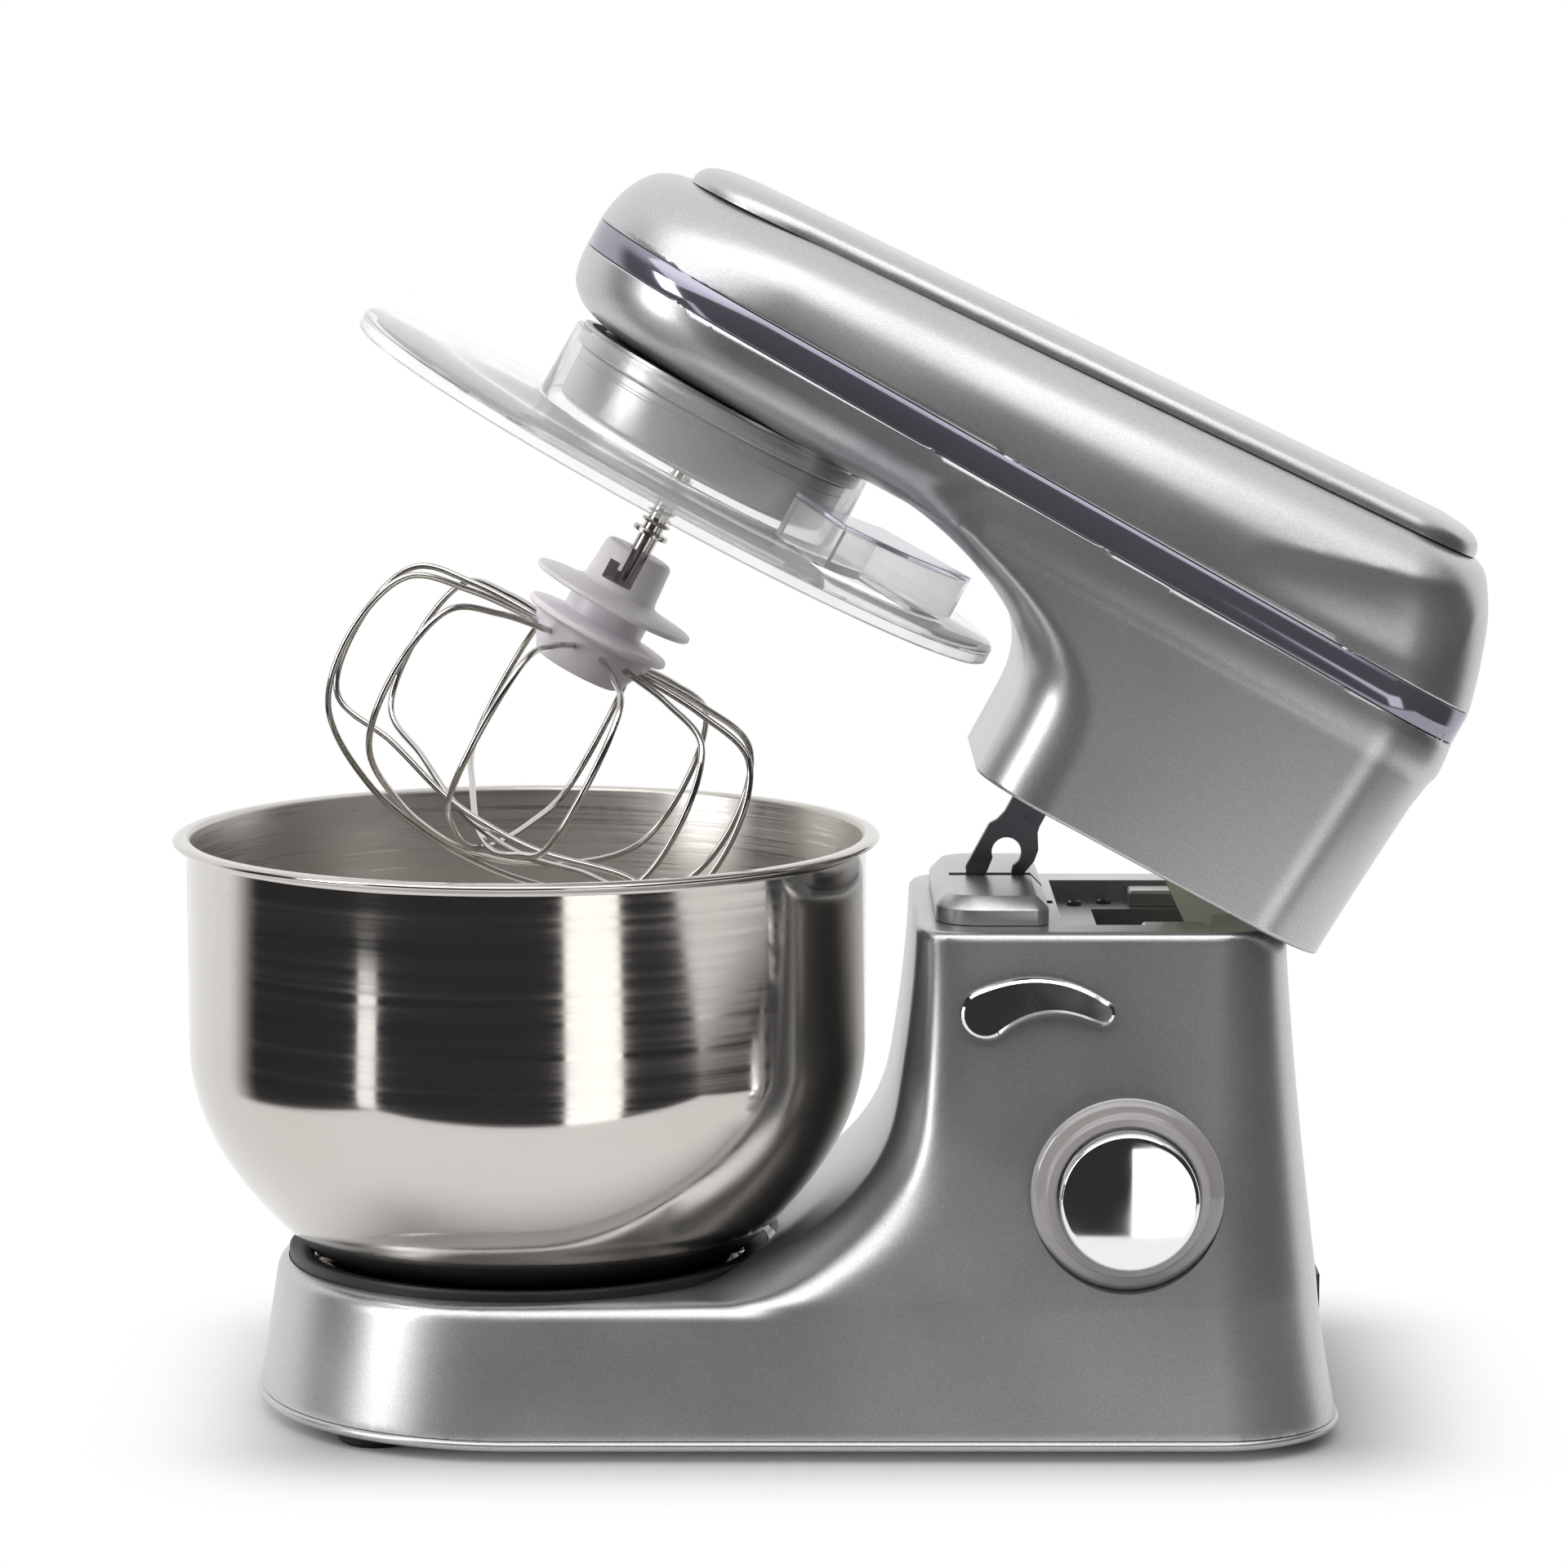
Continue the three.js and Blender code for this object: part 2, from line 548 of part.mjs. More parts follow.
function bowlSeat() {
  const floor = SHELF_TOP - SEAT_DEPTH + GAP;
  const inside = BOWL_FOOT_RADIUS + 1.2;
  return turned(0, 0, [
    [SEAT_HOLE_RADIUS, floor], [SEAT_RADIUS, floor], [SEAT_RADIUS, SHELF_TOP + 1], [SEAT_RADIUS - 1.5, SHELF_TOP + 2],
    [inside, SHELF_TOP + 1], [inside, floor + SEAT_FLOOR], [SEAT_HOLE_RADIUS, floor + SEAT_FLOOR],
  ], 36);
}

/** The bowl's outer section from the floor's edge to its upright wall, a parabola in height, drawn in by inset. */
function bowlWall(inset) {
  const points = [];
  for (let i = 0; i <= BOWL_STEPS; i++) {
    const share = i / BOWL_STEPS;
    const across = 1 - (1 - share) ** 2;
    points.push([
      BOWL_FLOOR_RADIUS + (BOWL_RADIUS - BOWL_FLOOR_RADIUS) * across - inset,
      BOWL_FLOOR_Z + inset * (1 - share) + (BOWL_SHOULDER_Z - BOWL_FLOOR_Z) * share,
    ]);
  }
  return points;
}

function bowl() {
  const outer = bowlWall(0);
  const inner = bowlWall(BOWL_WALL);
  return turned(0, 0, [
    [0, BOWL_FLOOR_Z], ...outer,
    [BOWL_RADIUS, BOWL_RIM_Z - BOWL_LIP], [BOWL_RIM_RADIUS - 0.8, BOWL_RIM_Z - BOWL_LIP],
    [BOWL_RIM_RADIUS, BOWL_RIM_Z - BOWL_LIP / 2],
    [BOWL_RIM_RADIUS - 0.8, BOWL_RIM_Z], [BOWL_RADIUS, BOWL_RIM_Z], [BOWL_RADIUS - BOWL_WALL, BOWL_RIM_Z - 1],
    ...inner.reverse(), [0, BOWL_FLOOR_Z + BOWL_WALL],
  ], 36);
}

function bowlFoot() {
  const low = SHELF_TOP - SEAT_DEPTH + GAP + SEAT_FLOOR + GAP;
  const top = BOWL_FLOOR_Z - GAP;
  const inside = BOWL_FOOT_RADIUS - BOWL_FOOT_WIDTH;
  return turned(0, 0, [
    [inside, low], [BOWL_FOOT_RADIUS, low], [BOWL_FOOT_RADIUS, top + 1.2],
    [BOWL_FLOOR_RADIUS + 1.2, top], [inside, top],
  ], 36);
}

/** Cover of the latch on the column's top, with a bevel all round and the hook's slot. */
function latchCover() {
  const bottom = COLUMN_TOP + GAP;
  const edge = (inset, z) => outline(HUMP_FRONT + inset, HUMP_REAR - inset, HUMP_HALF_WIDTH - inset,
    HUMP_FRONT_CORNER - inset, HUMP_REAR_CORNER - inset, z, 3);
  const outer = stacked([
    edge(0, bottom), edge(0, bottom + HUMP_HEIGHT - HUMP_BEVEL), edge(HUMP_BEVEL, bottom + HUMP_HEIGHT),
  ]);
  const slot = block([SLOT_FRONT, -HOOK_THICKNESS, bottom - 5],
    [HUMP_REAR + 5, HOOK_THICKNESS, bottom + HUMP_HEIGHT + 5]);
  return outer.subtract(slot);
}

/** Stepped ring round the speed knob. */
function knobRing() {
  const back = -KNOB_PAD + GAP;
  return turnedY(KNOB_X, KNOB_Z, [
    [KNOB_RADIUS + RUNNING_GAP, back], [KNOB_RING_RADIUS, back], [KNOB_RING_RADIUS, back + 2.5],
    [KNOB_RING_RADIUS - 1.5, back + 4], [KNOB_RING_RADIUS - 4, back + 4.5],
    [KNOB_RING_RADIUS - 5, back + KNOB_RING_HEIGHT], [KNOB_RADIUS + RUNNING_GAP, back + KNOB_RING_HEIGHT],
  ], 28);
}

function speedKnob() {
  const back = -KNOB_PAD + GAP;
  return turnedY(KNOB_X, KNOB_Z, [
    [0, back], [KNOB_RADIUS, back], [KNOB_RADIUS, back + KNOB_HEIGHT - 1.5],
    [KNOB_RADIUS - 1.5, back + KNOB_HEIGHT], [0, back + KNOB_HEIGHT + 0.8],
  ], 28);
}

// ---------- head ----------

const bandBottom = (x) => BAND_LOW - 0.0229 * x;
const bandTop = (x) => BAND_HIGH - 0.0167 * x;
const shellTop = (x) => SHELL_TOP + 0.052 * x;

/** Outlines of the head's long front body, from its underside up to the trim band. */
function underOutlines(inset, top) {
  const levels = [[0, 17, 14], [0.22, 6.5, 6.5], [0.5, 1.5, 2.4], [0.8, 0.2, 0.4], [1, 0, 0]];
  return levels.map(([share, nose, side]) => outline(
    HEAD_NOSE + nose + inset, HEAD_REAR - inset, HEAD_HALF_WIDTH - side - inset,
    HEAD_FRONT_CORNER - inset, HEAD_REAR_CORNER - inset,
    (x) => {
      const low = HEAD_UNDERSIDE + inset;
      return low + (top(x) - low) * share;
    }));
}

/** Front of the head's neck at a height: upright below, swept forward into the underside above. */
function neckFront(z) {
  const rise = (z - NECK_SWEEP_LOW) / (HEAD_UNDERSIDE + 2 - NECK_SWEEP_LOW);
  return NECK_FRONT - NECK_SWEEP * Math.min(1, Math.max(0, rise)) ** 3.2;
}

/** Outlines of the head's neck, from its open bottom to the trim band. */
function neckOutlines(inset, bottom, top) {
  const swept = [0, 0.32, 0.52, 0.68, 0.8, 0.9]
    .map((share) => NECK_SWEEP_LOW + (HEAD_UNDERSIDE + 2 - NECK_SWEEP_LOW) * share);
  const levels = [bottom, HEAD_BOTTOM + WALL, ...swept, HEAD_UNDERSIDE + WALL];
  const upright = levels.map((z, i) => {
    const draw = i === 0 ? 2 : 0;
    const rise = Math.max(0, (z - HEAD_BOTTOM) / (BAND_LOW - HEAD_BOTTOM));
    const rear = NECK_REAR + (HEAD_REAR - NECK_REAR) * rise ** 1.2;
    return outline(neckFront(z) + inset + draw, rear - inset - draw * 0.5,
      HEAD_HALF_WIDTH - NECK_DRAW_IN - inset - draw * 0.5, NECK_FRONT_CORNER - inset, NECK_REAR_CORNER - inset, z);
  });
  const last = outline(NECK_FRONT - NECK_SWEEP + inset, HEAD_REAR - inset, HEAD_HALF_WIDTH - inset,
    NECK_FRONT_CORNER - inset, HEAD_REAR_CORNER - inset, top);
  return [...upright, last];
}

function headLowerShell() {
  const top = (x) => bandBottom(x) - GAP;
  const over = (x) => bandBottom(x) + 4;
  const outer = joined(stacked(underOutlines(0, top)), stacked(neckOutlines(0, HEAD_BOTTOM, top)));
  const inner = joined(stacked(underOutlines(WALL, over)),
    stacked(neckOutlines(WALL, HEAD_BOTTOM - 2, over)));
  const shaftHole = barZ(AXIS_X, 0, SHAFT_HOLE_RADIUS, HEAD_UNDERSIDE - 5, HEAD_UNDERSIDE + WALL + 2, 32);
  return outer.subtract(inner).subtract(shaftHole);
}

function trimBand() {
  const ring = (inset, lift) => [
    outline(HEAD_NOSE + inset, HEAD_REAR - inset, HEAD_HALF_WIDTH - inset,
      HEAD_FRONT_CORNER - inset, HEAD_REAR_CORNER - inset, (x) => bandBottom(x) - lift),
    outline(HEAD_NOSE + inset, HEAD_REAR - 0.6 - inset, HEAD_HALF_WIDTH - inset,
      HEAD_FRONT_CORNER - inset, HEAD_REAR_CORNER - inset, (x) => bandTop(x) + lift),
  ];
  return stacked(ring(0, 0)).subtract(stacked(ring(BAND_DEPTH, 5)));
}

/** Outlines of the upper shell, from the trim band up to its flat top. */
function upperOutlines(inset, bottomOf, topOf) {
  const levels = [
    [0, 0.3, 0.4, 0.8], [0.2, 1.2, 1, 2.6], [0.42, 3.8, 2.6, 5.6], [0.62, 8, 5.6, 8.6],
    [0.8, 14, 10.5, 12.4], [0.93, 22, 17, 16], [1, 34, 25, 20],
  ];
  return levels.map(([share, nose, side, tail]) => outline(
    HEAD_NOSE + nose * 0.55 + inset, HEAD_REAR - tail - inset, HEAD_HALF_WIDTH - side - inset,
    HEAD_FRONT_CORNER - nose * 0.2 - inset, HEAD_REAR_CORNER - inset,
    (x) => bottomOf(x) + (topOf(x) - bottomOf(x)) * share));
}

function headUpperShell() {
  const outer = stacked(upperOutlines(0, (x) => bandTop(x) + GAP, shellTop));
  const inner = stacked(upperOutlines(WALL, (x) => bandTop(x) - 3, (x) => shellTop(x) - WALL));
  return outer.subtract(inner);
}

/** The long cover let into the head's top, crowned along its middle. */
function topCover() {
  const base = (x) => shellTop(x) + GAP;
  const levels = [[0, 0], [0.45, 1.2], [0.8, 5], [1, 14]];
  return stacked(levels.map(([share, draw]) => outline(
    HEAD_NOSE + COVER_FRONT_MARGIN + draw, HEAD_REAR - COVER_REAR_MARGIN - draw * 0.7, COVER_HALF_WIDTH - draw,
    COVER_HALF_WIDTH - 4 - draw * 0.8, 24 - draw * 0.6, (x) => base(x) + COVER_HEIGHT * share)));
}

/** Dark plate that hangs from the head and is caught by the bolt in the column. */
function latchHook() {
  const shape = new THREE.Shape();
  const mouth = BOLT_RADIUS + 1;
  const mouthX = HOOK_HOLE_X + 1.2;
  shape.moveTo(HOOK_FRONT, HOOK_TOP);
  shape.lineTo(HOOK_FRONT, 2);
  shape.lineTo(HOOK_FRONT - 2.5, -4);
  shape.lineTo(HOOK_FRONT - 2.5, HOOK_TIP - 2.5);
  shape.lineTo(HOOK_FRONT + 1.5, HOOK_TIP - 4.5);
  shape.lineTo(mouthX - mouth, HOOK_TIP);
  shape.absarc(HOOK_HOLE_X, HOOK_HOLE_Z, HOOK_HOLE_RADIUS, Math.PI * 1.28, -Math.PI * 0.2, true);
  shape.lineTo(mouthX + mouth + 0.6, HOOK_TIP + 1);
  shape.lineTo(HOOK_REAR + 1.5, HOOK_TIP);
  shape.lineTo(HOOK_REAR + 4, HOOK_HOLE_Z + 1.5);
  shape.lineTo(HOOK_REAR, 2);
  shape.lineTo(HOOK_REAR, HOOK_TOP);
  shape.closePath();
  return plateXZ(shape, -HOOK_THICKNESS / 2, HOOK_THICKNESS / 2, 6);
}

/** Pale gearbox frame: a plate under the motor with two lugs round the hinge pin. */
function headBracket() {
  const plate = block([FRAME_PLATE_FRONT, -FRAME_PLATE_HALF_WIDTH, FRAME_PLATE_LOW],
    [FRAME_PLATE_REAR, FRAME_PLATE_HALF_WIDTH, FRAME_PLATE_HIGH]);
  const lugShape = new THREE.Shape();
  lugShape.moveTo(-LUG_REACH, FRAME_PLATE_LOW + 1);
  lugShape.quadraticCurveTo(-LUG_BEND, -2, -6, -LUG_DROP);
  lugShape.absarc(0, 0, LUG_RADIUS, -Math.PI * 0.72, 0, false);
  lugShape.lineTo(2, 12);
  lugShape.lineTo(-3, FRAME_PLATE_LOW + 1);
  lugShape.closePath();
  const lugs = plateXZ(lugShape, -BRACKET_HALF_WIDTH, BRACKET_HALF_WIDTH)
    .subtract(block([-THROUGH, -BRACKET_HALF_WIDTH + 8, -THROUGH], [THROUGH, BRACKET_HALF_WIDTH - 8, FRAME_PLATE_LOW]));
  const pinHole = barY(0, 0, PIN_RADIUS + GAP, -THROUGH, THROUGH);
  return joined(plate, lugs).subtract(pinHole);
}

const MOTOR_LOW = FRAME_PLATE_HIGH + GAP;

/** Motor's can with flattened front and rear, open at the top round the rotor. */
function motorStator() {
  const can = barZ(MOTOR_X, 0, MOTOR_RADIUS, MOTOR_LOW, MOTOR_HIGH, 28);
  const bore = barZ(MOTOR_X, 0, ROTOR_RADIUS + 2, MOTOR_LOW + 4, MOTOR_HIGH + 1, 20);
  const shaftHole = barZ(MOTOR_X, 0, MOTOR_SHAFT_RADIUS + RUNNING_GAP, MOTOR_LOW - 1, MOTOR_LOW + 6);
  const flat = (low) => block([low, -THROUGH, 0], [low + MOTOR_RADIUS, THROUGH, THROUGH]);
  return can.subtract(joined(bore, shaftHole, flat(MOTOR_X + MOTOR_HALF_FLAT),
    flat(MOTOR_X - MOTOR_HALF_FLAT - MOTOR_RADIUS)));
}

function motorRotor() {
  return joined(
    barZ(MOTOR_X, 0, MOTOR_SHAFT_RADIUS, MOTOR_LOW + GAP, PULLEY_Z + BELT_WIDTH + 5, 14),
    barZ(MOTOR_X, 0, ROTOR_RADIUS, MOTOR_LOW + 10, MOTOR_HIGH - 14, 24),
    barZ(MOTOR_X, 0, ROTOR_RADIUS / 2, MOTOR_HIGH - 15, MOTOR_HIGH - 5, 16));
}

/** Cooling fan on the rotor, with radial blades. */
function motorFan() {
  const low = MOTOR_HIGH + 2;
  const blades = [];
  for (let i = 0; i < FAN_BLADES; i++) {
    blades.push(block([6, -0.8, low + 1], [FAN_RADIUS - 1, 0.8, low + 8])
      .rotate([0, 0, i * 360 / FAN_BLADES]).translate([MOTOR_X, 0, 0]));
  }
  return joined(barZ(MOTOR_X, 0, FAN_RADIUS, low, low + 1.6, 24), barZ(MOTOR_X, 0, 8, low, low + 8), ...blades)
    .subtract(barZ(MOTOR_X, 0, MOTOR_SHAFT_RADIUS + GAP, low - 1, low + 12, 14));
}

/** A flanged belt pulley. */
function pulley(x, radius, bore) {
  const low = PULLEY_Z;
  const high = PULLEY_Z + BELT_WIDTH;
  return turned(x, 0, [
    [bore + GAP, low - 1.2], [radius + 2, low - 1.2], [radius + 2, low], [radius, low], [radius, high],
    [radius + 2, high], [radius + 2, high + 1.2], [bore + GAP, high + 1.2],
  ], 14);
}

const DRIVE_X = AXIS_X + (CARRIER_TEETH + PINION_TEETH) * CARRIER_MODULE / 2;

/** The belt: two straights and two arcs round the pulleys. */
function driveBelt() {
  const span = MOTOR_X - DRIVE_X;
  const lean = Math.asin((DRIVE_PULLEY_RADIUS - MOTOR_PULLEY_RADIUS) / span);
  const loop = (grow) => {
    const big = DRIVE_PULLEY_RADIUS + GAP + grow;
    const small = MOTOR_PULLEY_RADIUS + GAP + grow;
    const shape = new THREE.Shape();
    shape.absarc(DRIVE_X, 0, big, Math.PI / 2 - lean, Math.PI * 1.5 + lean, false);
    shape.absarc(MOTOR_X, 0, small, -Math.PI / 2 + lean, Math.PI / 2 - lean, false);
    return shape;
  };
  const low = PULLEY_Z + GAP;
  const high = PULLEY_Z + BELT_WIDTH - GAP;
  return plateXY(loop(BELT_THICKNESS), low, high, 12).subtract(plateXY(loop(0), low - 1, high + 1, 12));
}

/** Steel shaft of the large pulley, standing in the gearbox. */
function driveShaft() {
  return barZ(DRIVE_X, 0, DRIVE_SHAFT_RADIUS, HEAD_UNDERSIDE + WALL + GAP, PULLEY_Z + BELT_WIDTH + 5, 14);
}

function drivePinion() {
  const high = PULLEY_Z - 1.2 - GAP;
  return gear(DRIVE_X, 0, PINION_TEETH, CARRIER_MODULE, CARRIER_GEAR_Z, high, Math.PI + Math.PI / PINION_TEETH)
    .subtract(barZ(DRIVE_X, 0, DRIVE_SHAFT_RADIUS + GAP, 0, THROUGH, 14));
}

function carrierGear() {
  return gear(AXIS_X, 0, CARRIER_TEETH, CARRIER_MODULE, CARRIER_GEAR_Z, CARRIER_GEAR_Z + GEAR_HEIGHT, 0)
    .subtract(barZ(AXIS_X, 0, CARRIER_SHAFT_RADIUS + GAP, 0, THROUGH));
}

const CARRIER_SHAFT_TOP = CARRIER_GEAR_Z + GEAR_HEIGHT + 8;
const carrierShaft = () => barZ(AXIS_X, 0, CARRIER_SHAFT_RADIUS, DRUM_TOP + GAP, CARRIER_SHAFT_TOP);

/** The planetary drum: a cup, closed below, with the output shaft's hole off its centre. */
function planetCarrier() {
  const cup = turned(AXIS_X, 0, [
    [0, DRUM_BOTTOM + 1.5], [DRUM_RADIUS - 16, DRUM_BOTTOM], [DRUM_RADIUS - 3, DRUM_BOTTOM],
    [DRUM_RADIUS, DRUM_BOTTOM + 2], [DRUM_RADIUS, DRUM_TOP], [0, DRUM_TOP],
  ], 28);
  return cup.subtract(barZ(AXIS_X, ORBIT_RADIUS, SHAFT_RADIUS + RUNNING_GAP, 0, THROUGH));
}

/** Ring that the splash guard clips to, under the head. */
function guardMount() {
  const top = HEAD_UNDERSIDE - GAP;
  const inside = RING_GEAR_RADIUS + GAP;
  const outside = GUARD_COLLAR_RADIUS - GUARD_WALL - 2 * RUNNING_GAP - GAP;
  return turned(AXIS_X, 0, [
    [inside, DRUM_TOP + 1], [outside, DRUM_TOP + 1], [outside, top], [inside, top],
  ], 28);
}

/** Fixed gear with inner teeth that the planet rolls in. */
function ringGear() {
  const low = DRUM_TOP + RUNNING_GAP;
  const high = low + GEAR_HEIGHT;
  const cutter = gearShape(RING_TEETH, GEAR_MODULE, 0.9 * GEAR_MODULE, 0.6 * GEAR_MODULE,
    Math.PI / 2, 0.3, 0.42);
  return barZ(AXIS_X, 0, RING_GEAR_RADIUS, low, high, 36)
    .subtract(plateXY(cutter, low - 1, high + 1).translate([AXIS_X, 0, 0]));
}

/** Plate that closes the gearbox over the ring gear and carries the central shaft. */
function gearboxPlate() {
  const low = HEAD_UNDERSIDE + WALL + GAP;
  return barZ(AXIS_X, 0, GEARBOX_PLATE_RADIUS, low, low + 2.6, 28).subtract(
    barZ(AXIS_X, 0, CARRIER_SHAFT_RADIUS + RUNNING_GAP, 0, THROUGH));
}

const PLANET_LOW = DRUM_TOP + 1.2;
const planetGear = () => gear(AXIS_X, ORBIT_RADIUS, PLANET_TEETH, GEAR_MODULE, PLANET_LOW,
  PLANET_LOW + GEAR_HEIGHT - 1, Math.PI / 2)
  .subtract(barZ(AXIS_X, ORBIT_RADIUS, SHAFT_RADIUS + GAP, 0, THROUGH));

/** Output shaft with its washer ring, and the cross pin's bulge at its lower end. */
function outputShaft() {
  return joined(
    barZ(AXIS_X, ORBIT_RADIUS, SHAFT_RADIUS, SHAFT_END, PLANET_LOW + GEAR_HEIGHT),
    barZ(AXIS_X, ORBIT_RADIUS, SHAFT_RADIUS + 2.6, HUB_TOP + 6, HUB_TOP + 8),
    barZ(AXIS_X, ORBIT_RADIUS, SHAFT_RADIUS + 1.6, HUB_TOP + 10, HUB_TOP + 11.5));
}

/** Clear dome that clips under the head: a flat brim, a collar and a pouring chute at the rear. */
function splashGuard() {
  const collar = GUARD_COLLAR_RADIUS;
  const inside = collar - GUARD_WALL;
  const top = HEAD_UNDERSIDE - 1.5;
  return turned(AXIS_X, 0, [
    [inside, GUARD_Z + 2.5], [collar + 2, GUARD_Z + 1.6], [GUARD_RADIUS - 3, GUARD_Z - 0.5],
    [GUARD_RADIUS - 3, GUARD_Z - 4], [GUARD_RADIUS, GUARD_Z - 4], [GUARD_RADIUS, GUARD_Z + 1],
    [GUARD_RADIUS - 2, GUARD_Z + 2.4], [collar + 1, GUARD_Z + 4.6], [collar, GUARD_Z + 6],
    [collar - 0.6, top], [inside - 0.6, top],
  ], 32).subtract(chuteSolid(GUARD_WALL, GUARD_Z - 10, GUARD_Z + 20));
}

/** A sector of a ring beside the collar: the plan of the chute. */
function chuteSolid(inset, low, high) {
  const half = CHUTE_HALF_ANGLE * Math.PI / 180;
  const middle = CHUTE_ANGLE * Math.PI / 180;
  const near = GUARD_COLLAR_RADIUS + CHUTE_MARGIN + inset;
  const far = near + CHUTE_LENGTH - 2 * inset;
  const shape = new THREE.Shape();
  shape.absarc(AXIS_X, 0, far, middle - half + inset / far, middle + half - inset / far, false);
  shape.absarc(AXIS_X, 0, near, middle + half - inset / near, middle - half + inset / near, true);
  return plateXY(shape, low, high, 8);
}

const CHUTE_LOW = GUARD_Z + 4.6;

/** Walls of the chute, standing on the guard's brim. */
function guardChute() {
  const low = CHUTE_LOW;
  const high = low + CHUTE_HEIGHT;
  return chuteSolid(0, low, high).subtract(chuteSolid(GUARD_WALL, low - 1, high + 1));
}

/** Tinted flap that closes the chute. */
function chuteFlap() {
  const low = CHUTE_LOW + CHUTE_HEIGHT + GAP;
  return chuteSolid(0, low, low + FLAP_THICKNESS);
}

/** White hub of the whisk: bayonet sleeve, two flanges and a tapered cup. */
function whiskHub() {
  const profile = [
    [0, HUB_BOTTOM], [14, HUB_BOTTOM], [19, HUB_LOWER_FLANGE_Z - 3], [HUB_LOWER_FLANGE_RADIUS, HUB_LOWER_FLANGE_Z - 1.5],
    [HUB_LOWER_FLANGE_RADIUS, HUB_LOWER_FLANGE_Z], [14, HUB_LOWER_FLANGE_Z + 2], [14, HUB_UPPER_FLANGE_Z - 2],
    [HUB_UPPER_FLANGE_RADIUS, HUB_UPPER_FLANGE_Z - 2.5], [HUB_UPPER_FLANGE_RADIUS, HUB_UPPER_FLANGE_Z - 0.5],
    [15, HUB_UPPER_FLANGE_Z + 2], [HUB_RADIUS + 1.5, HUB_UPPER_FLANGE_Z + 3], [HUB_RADIUS, HUB_TOP - 1.5],
    [HUB_RADIUS - 1.5, HUB_TOP], [0, HUB_TOP],
  ];
  const bore = barZ(AXIS_X, ORBIT_RADIUS, SHAFT_RADIUS + GAP, SHAFT_END - 2, HUB_TOP + 1, 24);
  const slot = block([AXIS_X - 2.6, ORBIT_RADIUS - 12, 6.4], [AXIS_X + 2.6, ORBIT_RADIUS + 12, HUB_TOP + 1]);
  const foot = block([AXIS_X - 2.6, ORBIT_RADIUS - 12, 6.4], [AXIS_X + 7, ORBIT_RADIUS, 11.6]);
  return turned(AXIS_X, ORBIT_RADIUS, profile, 20).subtract(joined(bore, slot, foot));
}

/** Steel pin across the output shaft, resting at the closed end of the bayonet slot. */
const crossPin = () => barY(AXIS_X, 9, 1.8, ORBIT_RADIUS + SHAFT_RADIUS + GAP, ORBIT_RADIUS + 8.6, 16);

/** One wire of the whisk: a loop in an upright plane through the hub's axis, nested by its number. */
function whiskWire(number) {
  const turn = (Math.PI / WIRE_LOOPS) * (number + 0.5);
  const nest = number * (2 * WIRE_RADIUS + GAP);
  const tip = WHISK_TIP + nest;
  const half = [
    [WIRE_ROOT, HUB_LOWER_FLANGE_Z - 7], [0.6 * WHISK_RADIUS, HUB_LOWER_FLANGE_Z - 8],
    [WHISK_RADIUS - 8, WHISK_SHOULDER + 9], [WHISK_RADIUS, WHISK_SHOULDER - 14],
    [WHISK_RADIUS - 5, WHISK_WAIST - 7], [0.6 * WHISK_RADIUS, tip + 8], [0.25 * WHISK_RADIUS, tip + 1.2], [0, tip],
  ];
  const across = [...half.map(([r, z]) => [r, z]), ...half.slice(0, -1).reverse().map(([r, z]) => [-r, z])];
  const points = across.map(([r, z]) => new THREE.Vector3(r * Math.cos(turn), r * Math.sin(turn), z));
  const path = new THREE.CatmullRomCurve3(points, false, 'centripetal');
  const section = new THREE.Shape().absarc(0, 0, WIRE_RADIUS, 0, Math.PI * 2, false);
  const geometry = new THREE.ExtrudeGeometry(section, { steps: 24, extrudePath: path, curveSegments: 3 });
  geometry.translate(AXIS_X, ORBIT_RADIUS, 0);
  return solid(geometry);
}

// ---------- controls and latch ----------

const releaseLever = () => plateXZ(leverShape(0), LEVER_FACE, LEVER_BACK, 10);

/** Lever's shaft through the column's wall, with the cam that moves the bolt. */
function leverShaft() {
  const end = CAM_INNER - CAM_WIDTH;
  return joined(
    barY(LEVER_X, LEVER_Z, LEVER_SHAFT_RADIUS, LEVER_BACK + GAP, CAM_INNER, 16),
    block([LEVER_X - CAM_HALF, end, LEVER_Z], [LEVER_X + CAM_HALF, CAM_INNER, LEVER_Z + CAM_REACH]));
}

/** Bolt under the column's roof: a cross pin in the hook's hole, with an arm that the cam moves. */
function latchBolt() {
  const front = LEVER_X + CAM_HALF + GAP;
  const rear = front + BOLT_WIDTH;
  const top = LEVER_Z + CAM_REACH;
  return joined(
    barY(BOLT_X, BOLT_Z, BOLT_RADIUS, CAM_INNER + 2, 9, 16),
    block([front, CAM_INNER - CAM_WIDTH, top - 6.3], [rear, CAM_INNER + 6, top]),
    block([front, CAM_INNER + 2, BOLT_Z - 1], [rear, CAM_INNER + 6, top - 5]));
}

/** Round button on the speed switch, with the shaft that the knob sits on. */
function knobShaft() {
  const start = -KNOB_PAD + GAP;
  return barY(KNOB_X, KNOB_Z, KNOB_SHAFT_RADIUS, -start + GAP, -start + BOARD_DEPTH + 2, 16);
}

/** Switch board behind the knob. */
function switchBoard() {
  const back = KNOB_PAD + BOARD_DEPTH;
  return joined(
    block([KNOB_X - BOARD_HALF_LENGTH, back + 6, KNOB_Z - BOARD_HALF_HEIGHT],
      [KNOB_X + BOARD_HALF_LENGTH, back + 8, KNOB_Z + BOARD_HALF_HEIGHT]),
    barY(KNOB_X, KNOB_Z, 14, back + 3.2, back + 7, 20));
}

